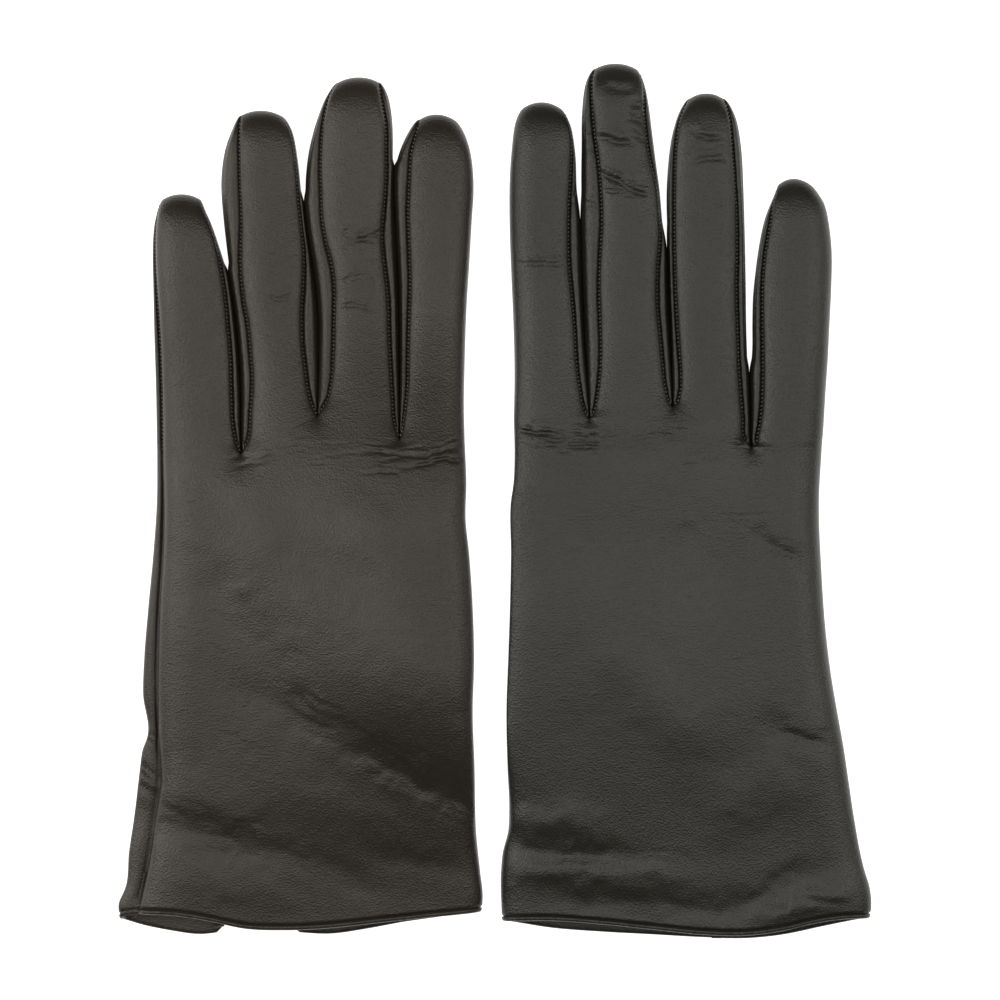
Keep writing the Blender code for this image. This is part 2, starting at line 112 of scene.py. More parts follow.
# Mesh density
BACK_COLUMNS = 44
PALM_COLUMNS = 24
ROW = 0.55
SLANTED_ROWS = 14.0  # over this length from the crotches a finger's rows turn level
BODY_ROWS = 125
KNUCKLE_ROWS = (24.0, 0.42)  # below the crotches the rows are close, for the creases there
CAP_ROWS = 18
ROW_CAP = 9.0  # over this length the rows grow closer towards the tip
WALL_COLUMNS = 16
THUMB_COLUMNS = 72
STRIP_COLUMNS = 8

STITCH_PITCH = 1.12
STITCH = (0.2, 0.52, 0.19)  # half its width, length and height
STITCH_TILT = 0.8  # radians
STITCH_LOOK = 0.3  # how far ahead a stitch looks for its direction
HEM_STITCH_LIFT = -0.25
SIDE_STITCH_LIFT = -0.05

# Outlines, (y, x) stations from the crotch to the tip. "low" and "high" are the finger's sides
# towards the index and the little finger, and "_seam" is where the back panel is sewn to that side.
RIGHT = {
    "index": {
        "tip": (113.6, 9.0, 18.0),
        "low": ((23.3, 5.6), (35, 5.8), (50, 5.5), (62, 5.0), (75, 4.5), (93, 4.5), (100, 5.0),
                (108, 6.0)),
        "high_seam": ((23.3, 27), (25, 26), (33, 24), (40, 23.2), (48, 22.8), (58, 22), (65, 21.3),
                      (80, 21), (95, 21.7), (104, 21.8), (110, 20.5)),
        "high": ((23.3, 27), (27, 26.8), (33, 26.3), (48, 25.3), (60, 24.8), (80, 24.1), (90, 23.5),
                 (97, 23.3), (104, 22.5), (110, 20.9)),
    },
    "middle": {
        "tip": (124.6, 29.0, 40.0),
        "low_seam": ((23.3, 27), (25, 28.3), (29, 29.3), (34, 30), (42, 30.5), (50, 30.3), (60, 30),
                     (70, 30.3), (80, 30.8), (88, 30.5), (95, 30), (102, 29), (110, 28.2), (117, 28)),
        "low": ((23.3, 27), (27, 27.1), (33, 26.9), (48, 26), (60, 25.5), (75, 25.2), (92, 24.8),
                (100, 24.9), (110, 25), (118, 25.8)),
        "high_seam": ((26.8, 50.7), (28.5, 49.5), (32, 48.5), (38, 47.8), (47, 47), (55, 46.3), (65, 46.3),
                      (75, 47), (85, 46.5), (92, 45.5), (98, 44), (105, 43), (110, 42.5), (117, 42.4)),
        "high": ((26.8, 50.7), (32, 50.4), (40, 50.1), (50, 49.7), (60, 49.4), (70, 48.9), (80, 47.9),
                 (88, 47.2), (97, 46), (105, 45), (113, 44), (120, 42.6)),
    },
    "ring": {
        "tip": (116.1, 56.0, 65.0),
        "low_seam": ((26.8, 50.7), (28, 52), (31, 53), (36, 53.2), (42, 52.8), (50, 52.2), (60, 51.7),
                     (70, 51.5), (90, 51.5), (98, 51.7), (106, 52.5), (112, 54)),
        "low": ((26.8, 50.7), (32, 50.9), (40, 50.7), (50, 50.4), (60, 50), (70, 49.8), (80, 49.2),
                (87, 49.1), (95, 49.5), (102, 50.3), (109, 52)),
        "high_seam": ((15.3, 73), (17, 71.5), (24, 70.5), (32, 69.8), (40, 69.3), (50, 69), (60, 68.7),
                      (70, 68.9), (80, 68.8), (90, 68.3), (98, 67.7), (107, 67), (113, 66)),
        "high": ((15.3, 73), (20, 72.7), (30, 72.4), (40, 72.1), (50, 71.8), (60, 71.7), (80, 71.3),
                 (90, 71), (97, 70.7), (105, 69.8), (112, 68)),
    },
    "little": {
        "tip": (91.8, 81.5, 89.0),
        "low_seam": ((15.3, 73), (16, 74), (19, 75), (25, 76), (32, 76.4), (42, 76.5), (52, 76.4),
                     (62, 76.5), (70, 77.2), (78, 78.5), (84, 79.5)),
        "low": ((15.3, 73), (20, 73.2), (30, 73.2), (38, 73.2), (44, 73.5), (50, 73.5), (58, 73.7),
                (66, 74.5), (73, 75.5), (80, 77), (85, 78.8)),
        "high": ((15.3, 93.3), (20, 93.7), (30, 94.3), (40, 95), (50, 95.5), (60, 96), (70, 96.2),
                 (78, 95.5), (84, 94.3), (88, 92.6)),
    },
    "index_edge": ((-119, 2.2), (-105, 2.0), (-100, 2.5), (-94, 4.0), (-88, 4.3), (-75, 3.8), (-60, 3.5),
                   (-45, 4.0), (-30, 4.5), (-15, 4.8), (0, 4.8), (5, 5.5), (12, 5.8), (23.3, 5.6)),
    "little_edge": ((-119, 107.1), (-115, 107.5), (-110, 107), (-105, 105.5), (-90, 102.5), (-80, 101),
                    (-70, 99.5), (-60, 97.7), (-50, 96), (-38, 94.5), (-20, 93.2), (0, 92.5),
                    (15.3, 93.3)),
    "side_seam": None,
    "hem_back": ((2, -119.6), (15, -119.3), (30, -120.3), (45, -121.8), (60, -123.3), (72, -123.5),
                 (82, -122.3), (92, -120), (100, -118.9), (107.5, -118.8)),
    "hem_palm": ((2, -119.6), (15, -121.8), (30, -123), (45, -123.8), (60, -124.6), (72, -124.9),
                 (82, -124), (95, -121.4), (107.5, -118.8)),
    "vent": (66.0, 0.1),
}
LEFT = {
    "index": {
        "tip": (110.1, 12.0, 21.0),
        "low": ((17.5, 8.3), (25, 8.5), (40, 8.3), (55, 7.8), (68, 7.0), (80, 6.3), (88, 5.8), (97, 6.3),
                (104, 8.0)),
        "high_seam": ((17.5, 26.8), (18.5, 26.3), (24, 25.3), (32, 24.4), (42, 24.2), (52, 24), (62, 23.7),
                      (72, 24), (82, 24.3), (90, 24), (98, 23.5), (104, 22.2)),
        "high": ((17.5, 26.8), (25, 26.6), (38, 26.6), (52, 26.7), (62, 27), (80, 27.9), (90, 28.4),
                 (97, 27.6), (103, 25.5)),
    },
    "middle": {
        "tip": (120.7, 33.0, 44.0),
        "low_seam": ((17.5, 26.8), (22, 28.3), (30, 29), (38, 29.5), (48, 30), (58, 30.3), (67, 31.3),
                     (75, 32), (82, 31.5), (90, 30.9), (100, 30.8), (107, 31), (113, 32)),
        "low": ((17.5, 26.8), (25, 27), (38, 27.2), (52, 27.4), (62, 27.7), (80, 28.6), (90, 28.9),
                (98, 28.8), (107, 28.9), (115, 30)),
        "high_seam": ((24, 50.1), (25, 49.5), (28, 47.5), (34, 46), (42, 45.5), (52, 45.3), (60, 45.2),
                      (67, 46), (73, 47.5), (80, 48.7), (87, 49), (95, 49.2), (105, 48.7), (112, 47.5)),
        "high": ((24, 50.1), (28, 49.9), (34, 49.7), (42, 49.6), (52, 49.8), (65, 51), (74, 52.6),
                 (82, 53.5), (90, 53.7), (98, 53), (105, 51.5), (112, 49.2)),
    },
    "ring": {
        "tip": (111.2, 61.0, 72.0),
        "low_seam": ((24, 50.1), (28, 52), (32, 53), (38, 53.8), (45, 54.6), (52, 54.8), (62, 54.3),
                     (70, 54.2), (78, 55), (85, 55.8), (95, 56.5), (103, 57.6)),
        "low": ((24, 50.1), (28, 50.4), (34, 50.3), (42, 50.3), (52, 50.4), (60, 51.1), (70, 52.5),
                (78, 53.7), (85, 54.6), (95, 55.6), (103, 56.8)),
        "high_seam": ((13.5, 71.8), (17, 69.9), (25, 69), (35, 68.5), (42, 69), (50, 69.8), (57, 71),
                      (65, 71.8), (80, 71.7), (90, 72), (100, 72.2), (107, 72.1)),
        "high": ((13.5, 71.8), (20, 71.7), (30, 71.7), (40, 72.1), (50, 73.1), (65, 75.2), (72, 76.1),
                 (80, 77), (90, 77.7), (98, 77), (105, 75)),
    },
    "little": {
        "tip": (87.4, 84.0, 94.0),
        "low_seam": ((13.5, 71.8), (15, 72.6), (20, 74), (30, 74.7), (40, 75), (50, 75.8), (60, 76.8),
                     (65, 77.6), (75, 79.7), (81, 81.8)),
        "low": ((13.5, 71.8), (20, 72.3), (30, 72.4), (40, 73), (50, 73.8), (60, 75.1), (65, 76.1),
                (75, 79.1), (81, 81.3)),
        "high_seam": ((13.5, 94), (30, 94.2), (40, 94.5), (50, 95), (60, 95.7), (65, 96), (75, 96.2),
                      (81, 95.8)),
        "high": ((13.5, 95.9), (30, 96.2), (50, 96.8), (60, 97), (70, 97.2), (76, 97), (82, 96.1)),
    },
    "index_edge": ((-117, 3.5), (-113, 3.2), (-105, 4), (-95, 5), (-75, 5.5), (-60, 6), (-45, 5.6),
                   (-30, 6), (-15, 7), (-5, 8), (5, 7.8), (17.5, 8.3)),
    "little_edge": ((-118, 106.8), (-115, 107), (-110, 105), (-100, 104), (-90, 102.5), (-76, 100.8),
                    (-71, 100.1), (-67, 98.7), (-55, 99.9), (-45, 99.6), (-30, 98.4), (-15, 97), (0, 96),
                    (13.5, 95.9)),
    "side_seam": ((-118, 101.6), (-105, 98.6), (-90, 96.2), (-80, 94.8), (-65, 95.3), (-50, 95.5),
                  (-30, 95), (-15, 94.1), (0, 93.8), (13.5, 94)),
    "hem_back": ((3, -117), (20, -118.5), (35, -120), (50, -121.5), (62, -122), (75, -121.5), (85, -119.5),
                 (95, -118), (107, -117.5)),
    "hem_palm": ((3, -117), (15, -118.8), (25, -120.2), (35, -122), (47, -123.6), (57, -123.2),
                 (78, -123.2), (84, -123.7), (93, -122.6), (102, -120.7), (107, -119.0)),
    "vent": (67.5, 10.0),
}
VENT_LENGTH = 46.0
VENT_CORNER = 2.4
VENT_SPREAD = 3.5  # the palm is parted over this many times the slit's half width
# How the vent's edges turn in: (distance across into the slit, height above the palm's face)
VENT_LIPS = ((0.3, 0.2), (0.35, 0.45), (0.2, 0.7), (-0.8, 0.9), (-3.0, 0.9))

# Creases in the back: (x, y) to (x, y), depth, width
CREASES = {
    "left": (
        ((8, 15.5), (22, 12.5), 0.32, 0.55), ((20, 13), (38, 14.5), 0.22, 0.5),
        ((9, 12), (30, 9.5), 0.22, 0.6), ((31, 77.5), (43, 72.5), 0.32, 0.5),
        ((33, 74), (41, 75.5), 0.25, 0.45), ((35, 63.5), (44, 62.5), 0.2, 0.5),
        ((101, -74), (94, -81), 0.9, 1.0), ((102, -79), (96, -86), 0.5, 0.8),
        ((99, -66), (94, -69), 0.6, 0.8), ((35, 54.5), (44, 55.5), 0.28, 0.45),
        ((57, 57.5), (64, 57), 0.2, 0.6), ((60, 13), (74, 9), 0.2, 0.6),
    ),
    "right": (
        ((7, 19.5), (20, 18.8), 0.3, 0.5), ((12, 16.4), (28, 15.6), 0.3, 0.5),
        ((28, 93), (36, 90.5), 0.4, 0.6), ((34, 91), (44, 86.5), 0.45, 0.6),
        ((30, 88.5), (38, 87.8), 0.3, 0.5), ((38, 113.5), (43, 112), 0.35, 1.1),
        ((37, 109.5), (43, 107.5), 0.35, 1.1), ((38, 104.5), (43.5, 103.2), 0.32, 1.0),
        ((29, 103.5), (40, 102), 0.4, 0.7), ((31, 117.5), (40, 117), 0.3, 0.8),
        ((55, 105), (64, 102.5), 0.4, 0.7), ((56, 97), (66, 97), 0.25, 0.6),
        ((7, 67.5), (20, 67), 0.3, 0.5), ((76, -12), (87, -17), 0.3, 0.7),
        ((80, -64), (94, -69), 0.35, 0.8), ((86, -112), (100, -114), 0.3, 0.8),
    ),
}
# Patches of fine wrinkles: middle, half width and half height, slope, how many, depth
WRINKLES = {
    "left": (
        ((22, 12.5), (13, 3.5), -0.10, 26, 0.2), ((52, 14), (20, 4), -0.10, 16, 0.12),
        ((37.5, 75), (5, 3.5), -0.3, 14, 0.16), ((39, 58), (4, 6), 0.05, 10, 0.10),
        ((15, -30), (10, 25), -0.35, 14, 0.10), ((32, -72), (30, 8), 0.5, 34, 0.13),
        ((76, -94), (22, 6), 0.3, 24, 0.13), ((75, -60), (20, 30), 0.35, 14, 0.10),
        ((85, 20), (8, 25), 0.1, 12, 0.08), ((60, 60), (7, 20), 0.1, 8, 0.10),
    ),
    "right": (
        ((18, 17.8), (11, 3.2), -0.08, 30, 0.2), ((42, 17.5), (14, 4), 0.0, 16, 0.14),
        ((66, 15), (12, 4), 0.05, 12, 0.14), ((9, -3), (4, 8), 0.25, 10, 0.12),
        ((36.5, 89.5), (6, 3.5), -0.4, 16, 0.2), ((41, 109), (3, 6), -0.2, 8, 0.1),
        ((60, 101), (5, 5), -0.1, 10, 0.16), ((14, 67), (7, 5), 0.0, 8, 0.12),
        ((86, -66), (10, 5), -0.3, 12, 0.14), ((82, -14), (8, 5), -0.4, 8, 0.12),
        ((30, -104), (24, 5), 0.0, 16, 0.12), ((85, 45), (7, 28), 0.1, 12, 0.08),
        ((50, -40), (35, 45), 0.1, 18, 0.06),
    ),
}
# Broad folds: (x, y) to (x, y), height (a hollow's is negative), width
FOLDS = {
    "left": (
        ((98, 0), (0, -60), 0.6, 9.0), ((80, -48), (-4, -91), -0.6, 5.0), ((44, -70), (0, -90), -0.4, 2.5),
        ((78, -74), (2, -103), 0.4, 8.0), ((104, -89), (54, -102), -0.6, 4.5),
        ((98, -77), (66, -90), 0.4, 6.0), ((56, -101), (30, -112), -0.3, 4.0),
        ((96, -106), (55, -113), 0.4, 5.0), ((34, -100), (4, -106), -0.3, 4.0),
        ((40, 0), (22, -32), 0.5, 8.0), ((76, 6), (60, -16), 0.4, 7.0), ((86, -18), (54, -58), -0.5, 6.0),
    ),
    "right": (
        ((0, -90), (34, -91), 0.5, 4.0), ((0, -99), (40, -100), -0.6, 3.0),
        ((0, -105), (60, -107), 0.6, 3.2), ((10, -114), (70, -117), -0.5, 3.5),
        ((62, -118), (96, -103), -0.6, 3.5), ((75, -118), (100, -110), 0.6, 3.0),
        ((72, -9), (90, -18), -0.4, 2.5), ((76, -62), (97, -70), -0.4, 3.0),
        ((30, -40), (60, -70), 0.6, 9.0), ((20, -8), (80, -20), -0.8, 14.0),
        ((60, -88), (90, -80), 0.5, 8.0),
    ),
}

# The thumb, as in the frame
THUMB_ROOT = (25.5, -72.0)
THUMB_TIP = (41.0, 2.0)
THUMB_THICK = 9.6
THUMB_BASE_THICK = 8.4
THUMB_HALF_WIDTHS = (13.0, 12.4, 11.0)
THUMB_TIP_LENGTH = 11.0
THUMB_TIP_WIDTH = 0.45  # as a share of the thumb's
THUMB_TIP_ARCH = 0.25
THUMB_HINGE = 23.5
THUMB_SWELL = 25.0  # past the hinge the thumb thickens over this length
THUMB_BEND = 9.0  # a length on either side of the hinge
THUMB_RING_HALF = (12.6, 18.0)
THUMB_RING_POWER = 4
THUMB_HOLE_INSET = 2.0
THUMB_RING_CLEAR = 0.4
THUMB_ROOT_ROWS = 22
THUMB_POWER = 2.6
THUMB_SEAM_DEPTH = 0.6
THUMB_SEAM_WIDTH = 0.07  # as the sine of the angle round the thumb
THUMB_SLACK = 0.35
TABLE_CLEAR = 0.05

TURN = {"left": -1, "right": 1}

WARM_WHITE = (1.0, 0.965, 0.90)
NAPPA = {"left": (0.0190, 0.0152, 0.0105), "right": (0.0125, 0.0125, 0.0095)}
NAPPA_ROUGHNESS = 0.36
THREAD = (0.16, 0.155, 0.145)
KNIT = (0.02, 0.02, 0.022)

# Softboxes aimed at the origin: place, size, power
SOFTBOXES = (
    ("left_softbox", (-1.2, 0.2, 0.7), (0.7, 1.8), 9),
    ("right_softbox", (1.2, 0.2, 0.7), (0.7, 1.8), 4),
    ("overhead_softbox", (0.0, 0.16, 2.0), (5.0, 1.2), 34),
)
AMBIENT = 0.06

FLOOR_SIZE = 3.0
FLOOR_DROP = 0.0005
LENS = 200.0
SENSOR = 36.0
VIEW_WIDTH = 0.2836  # how much of the scene the camera sees, at VIEW_HEIGHT
VIEW_HEIGHT = 0.012
VIEW_CENTRE = (0.0017, 0.0003)


def smooth(t):
    """0 to 1, level at both ends."""
    t = np.clip(t, 0.0, 1.0)
    return t * t * (3 - 2 * t)


def mix(a, b, t):
    return a + (b - a) * t


def rounding(t, power):
    """A padded edge: 0 at t = 1 (the seam) and 1 at t = 0, bulging between."""
    return np.clip(1 - np.abs(t) ** power, 0, 1) ** (1 / power)


def curve(stations, at):
    """The smooth curve through (key, value) stations, at an array of keys."""
    keys, values = np.array(sorted(stations), float).T
    at = np.clip(np.asarray(at, float), keys[0], keys[-1])
    slopes = np.gradient(values, keys)
    i = np.clip(np.searchsorted(keys, at, side="right") - 1, 0, len(keys) - 2)
    span = keys[i + 1] - keys[i]
    t = (at - keys[i]) / span
    ends = (2 * t**3 - 3 * t**2 + 1) * values[i] + (3 * t**2 - 2 * t**3) * values[i + 1]
    return ends + span * ((t**3 - 2 * t**2 + t) * slopes[i] + (t**3 - t**2) * slopes[i + 1])


def within(value, ends):
    """0 before the first end, 1 past the second."""
    return smooth((value - ends[0]) / (ends[1] - ends[0]))


def lie(x, y):
    """How far the surface under the palm lies above the table."""
    return LIE_HEIGHT * (1 - within(x, LIE_X)) * within(y, LIE_Y_CUFF) * (1 - within(y, LIE_Y_FINGERS))


def rise(side, x, y):
    """How much higher the back lies than that of a glove without a thumb under it."""
    diagonal = within(y - FALL_SLOPE * x, FALL_ENDS)
    cuff = mix(within(y, RISE_Y_CUFF[side]), diagonal, FALL_SHARE[side])
    return RISE[side] * (1 - within(x, RISE_X)) * cuff * (1 - within(y, LIE_Y_FINGERS))


def height(side, x, y, share, inset=0.0, cap=1.0):
    """The height at a share of the glove's thickness: 0 on the palm, 1 on the back of the hand."""
    bottom = lie(x, y)
    half = (rise(side, x, y) + curve(THICKNESS, y) - bottom) / 2
    return bottom + half + (share - 0.5) * 2 * (half - inset) * cap


def lattice(seed):
    """A smooth noise over the plane, from about -1 to 1, with one cell per unit."""
    table = np.random.RandomState(seed).uniform(-1, 1, (64, 64))

    def at(x, y):
        xi, yi = np.floor(x).astype(int), np.floor(y).astype(int)
        u, v = smooth(x - xi), smooth(y - yi)
        a, b = table[xi % 64, yi % 64], table[(xi + 1) % 64, yi % 64]
        c, d = table[xi % 64, (yi + 1) % 64], table[(xi + 1) % 64, (yi + 1) % 64]
        return mix(mix(a, b, u), mix(c, d, u), v)

    return at


def fine_wrinkles(side):
    """The short lines of each patch in WRINKLES, as creases."""
    random = np.random.RandomState(5 if side == "left" else 6)
    lines = []
    for (x, y), (half_x, half_y), slope, count, depth in WRINKLES[side]:
        for _ in range(count):
            across, along = random.uniform(-1, 1, 2)
            length = half_x * random.uniform(0.25, 0.7)
            lean = slope + random.uniform(-0.12, 0.12)
            cx, cy = x + half_x * across, y + half_y * along + slope * half_x * across
            ends = ((cx - length / 2, cy - lean * length / 2), (cx + length / 2, cy + lean * length / 2))
            lines.append((*ends, depth * random.uniform(0.5, 1.0), random.uniform(0.32, 0.5)))
    return lines


LINES = {side: list(CREASES[side]) + fine_wrinkles(side) for side in TURN}


def across_line(x, y, line):
    """How far along a line a point is (0 at its middle, 1 at its ends), and its distance from it."""
    (x0, y0), (x1, y1) = line
    length = math.hypot(x1 - x0, y1 - y0)
    dx, dy = (x1 - x0) / length, (y1 - y0) / length
    along = (x - x0) * dx + (y - y0) * dy
    off = (x - x0) * -dy + (y - y0) * dx
    return np.abs(2 * along / length - 1), off


def wander(x, y):
    """Creases don't run straight: how far each place is shifted before a crease is drawn there."""
    slow, quick = lattice(3), lattice(4)
    off_x = 0.9 * slow(x / 7, y / 7)
    off_y = 0.8 * slow(x / 5 + 9, y / 5) + 0.35 * quick(x / 1.7, y / 2.5)
    return off_x, off_y


def relief(side, x, y):
    """The height that creases, folds and slack add to the back, in millimetres."""
    slack, grain = lattice(11 if side == "left" else 12), lattice(21)
    off_x, off_y = wander(x, y)
    lift = 0.30 * slack(x / 30, y / 30) + 0.10 * slack(x / 11 + 5, y / 11) + 0.02 * grain(x / 2.4, y / 1.6)
    for *line, depth, width in LINES[side]:
        share, off = across_line(x + off_x, y + off_y, line)
        fade = smooth((1.2 - share) / 0.8)
        cut = np.exp(-((off / width) ** 2))
        lip = np.exp(-(((off - 2.2 * width) / (1.5 * width)) ** 2))
        lift = lift + fade * depth * (0.4 * lip - cut)
    for *line, swell, width in FOLDS[side]:
        share, off = across_line(x + 2 * off_x, y + 2 * off_y, line)
        fade = smooth((1.3 - share) / 0.9)
        lift = lift + fade * swell * np.exp(-((off / width) ** 2))
    return lift


def wear(side, x, y):
    """Where the grain is broken up by wrinkles, 0 to 1."""
    worn = np.zeros(np.shape(x))
    off_x, off_y = wander(x, y)
    for centre, (half_x, half_y), slope, _, depth in WRINKLES[side]:
        u = (x + off_x - centre[0]) / half_x
        v = (y + off_y - centre[1] - slope * (x - centre[0])) / half_y
        worn = np.maximum(worn, smooth(1.5 - np.hypot(u, v)) * min(1, depth / 0.2))
    return worn


class Finger:
    """One finger's outline and heights. Its sides are "low" and "high"."""

    def __init__(self, glove_name, name, spec, bases):
        self.glove_name, self.name = glove_name, name
        self.tip, tip_low, tip_high = spec["tip"]
        self.bases = {"low": bases[0], "high": bases[1]}
        self.neighbours = {}
        self.lines = {}
        ends = {"low": tip_low, "high": tip_high}
        for key, stations in spec.items():
            if key != "tip":
                warped = [(math.sqrt(self.tip - y), x) for y, x in stations]
                self.lines[key] = warped + [(0.0, ends[key.split("_")[0]])]

    def line(self, key, y):
        return curve(self.lines[key], np.sqrt(np.maximum(self.tip - y, 0)))

    def side(self, side, y):
        """The finger's outline, which meets its neighbour's where the two nearly touch."""
        own = self.line(side, y)
        if side not in self.neighbours:
            return own
        out = -1 if side == "low" else 1
        other = self.neighbours[side].line("high" if side == "low" else "low", y)
        gap = (other - own) * out
        overlap = CLOSING_OVERLAP * smooth((y - self.bases[side]) / CLOSING_START)
        return own + out * (gap / 2 + overlap) * (1 - within(gap, CLOSING_GAP))

    def kind(self, side):
        """fourchette, fold (the leather runs round) or back (sewn on the back)."""
        if f"{side}_seam" not in self.lines:
            return "fold"
        return "back" if self.name == "little" and side == "high" else "fourchette"

    def rows(self):
        """The y of each row at the finger's two sides: slanted at the crotches, then level."""
        low, high = self.bases["low"], self.bases["high"]
        level = max(low, high) + SLANTED_ROWS
        share = np.linspace(0, 1, int(SLANTED_ROWS / ROW), endpoint=False)
        shoulder = self.tip - ROW_CAP
        straight = np.linspace(level, shoulder, int((shoulder - level) / ROW), endpoint=False)
        cap = shoulder + ROW_CAP * np.sin(np.linspace(0, math.pi / 2, CAP_ROWS))
        rest = np.concatenate([straight, cap])
        return {
            "low": np.concatenate([mix(low, level, share), rest]),
            "high": np.concatenate([mix(high, level, share), rest]),
        }

    def cap(self, y):
        """1 along the finger, falling to 0 at the tip."""
        past = np.clip((y - (self.tip - TIP_CAP)) / TIP_CAP, 0, 1)
        return np.sqrt(np.maximum(1 - past**TIP_POWER, 0))

    def arch(self, y, place):
        """How far a row's point lies behind the row, because the tip is round in plan."""
        return TIP_ARCH * np.abs(place) ** TIP_ARCH_POWER * smooth((y - self.tip + ROW_CAP) / ROW_CAP)

    def level(self, x, y, share, inset=0.0):
        return height(self.glove_name, x, y, share, inset, self.cap(y))

    def groove(self, side, y):
        """The depth of a seam's groove: it opens at the crotch, or runs on from the side seam."""
        start = SIDE_GROOVE if self.kind(side) == "back" else 0.0
        return mix(start, GROOVE, smooth((y - self.bases[side]) / GROOVE_START)) * self.cap(y)

    def palm_seam(self, side, y):
        """Where the palm is sewn to the fourchette: a little inside the finger's side."""
        out = -1 if side == "low" else 1
        inside = PALM_SEAM_INSET * smooth((y - self.bases[side]) / PALM_SEAM_START) * self.cap(y)
        return self.side(side, y) - out * inside


def padded(columns):
    """A panel's cross-section: places from -1 to 1, and how full it is there, 1 to 0 at the ends."""
    turn = np.linspace(-math.pi / 2, math.pi / 2, columns + 1)
    place = np.sign(turn) * np.abs(np.sin(turn)) ** (2 / PANEL_POWER)
    return place, np.maximum(np.cos(turn), 0) ** (2 / PANEL_POWER)


def panel(finger, face, columns, inset=0.0):
    """The back (1) or palm (-1) of a finger, as arrays of x, y and z."""
    rows = finger.rows()
    place, pad = padded(columns)
    share = (place + 1) / 2
    y = mix(rows["low"][:, None], rows["high"][:, None], share)
    ends = {}
    for side, out in (("low", -1), ("high", 1)):
        kind = finger.kind(side)
        if kind == "fold" or (kind == "back" and face < 0):
            ends[side] = (finger.side(side, rows[side]) - out * inset, 0.5)
        elif face > 0:
            seam = SIDE_SEAM if kind == "back" else BACK_SEAM
            ends[side] = (finger.line(f"{side}_seam", rows[side]) - out * inset, seam)
        else:
            ends[side] = (finger.palm_seam(side, rows[side]) - out * inset, PALM_SEAM)
    x = mix(ends["low"][0][:, None], ends["high"][0][:, None], share)
    end_share = np.where(place < 0, ends["low"][1], ends["high"][1])
    crown = 1.0 if face > 0 else 0.0
    z = finger.level(x, y, mix(end_share, crown, pad), inset)
    if face > 0 and not inset:
        z = z + relief(finger.glove_name, x, y) * finger.cap(y) * smooth(pad * RELIEF_REACH)
    return x, y - finger.arch(y, place), z


def tuck(finger, side, arrays, face):
    """One more column, which takes a panel's edge down into its seam."""
    column, out = (0, -1) if side == "low" else (-1, 1)
    drop = finger.groove(side, finger.rows()[side])
    edge = [a[:, column] for a in arrays]
    edge[0] = edge[0] - out * 0.10 * drop
    edge[2] = edge[2] - face * drop
    if side == "low":
        return tuple(np.column_stack([e, a]) for e, a in zip(edge, arrays))
    return tuple(np.column_stack([a, e]) for e, a in zip(edge, arrays))


def wall(finger, side):
    """A fourchette: the wall from the back seam round the finger's side to the palm seam."""
    ys = finger.rows()[side]
    out = -1 if side == "low" else 1
    turn = np.linspace(math.pi / 2, -math.pi / 2, WALL_COLUMNS + 1)
    rounded = np.maximum(np.cos(turn), 0) ** (2 / FOURCHETTE_POWER)
    up = (1 + np.sign(turn) * np.abs(np.sin(turn)) ** (2 / FOURCHETTE_POWER)) / 2
    seam, edge = finger.line(f"{side}_seam", ys)[:, None], finger.side(side, ys)[:, None]
    base = mix(finger.palm_seam(side, ys)[:, None], seam, up)
    x = base + (edge - base) * rounded
    y = np.repeat(ys[:, None], len(turn), 1)
    z = finger.level(x, y, mix(PALM_SEAM, BACK_SEAM, up))
    depth = finger.groove(side, ys)[:, None]
    z = z - depth * np.exp(-(((x - seam) / GROOVE_WIDTH) ** 2)) * (turn > 0)
    along = within(ys[:, None] - finger.bases[side], FOURCHETTE_CREASE_STARTS) * finger.cap(ys)[:, None]
    crease = FOURCHETTE_CREASE * np.exp(-(((turn - 0.5) / 0.16) ** 2)) * along
    x = x - out * crease * np.minimum(1, np.abs(edge - seam) / 2.5)
    ripple = 0.5 * relief(finger.glove_name, x * 1.5, y + 3) * smooth(2.5 * rounded) * along
    return x, y - finger.arch(y, 1.0), z + ripple * (turn > 0)


def side_groove(y, hem):
    """The depth of the side seam's groove in the hand: none at the hem itself."""
    return (SIDE_GROOVE + SIDE_GROOVE_CUFF * within(y, SIDE_GROOVE_DEEPENS)) * smooth((y - hem - 2) / 3)


def edge_strip(glove_name, seam, edge, y, depth, level):
    """The palm leather that comes round the outer edge to the seam on the back of the left glove."""
    turn = np.linspace(0, math.pi / 2, STRIP_COLUMNS + 1)
    x = seam + (edge - seam) * np.cos(turn)
    z = level(x, y, mix(0.5, SIDE_SEAM, np.sin(turn)))
    z = z + relief(glove_name, x, y) * np.sin(2 * turn)
    return x, y, z - depth * np.exp(-(((x - seam) / GROOVE_WIDTH) ** 2))


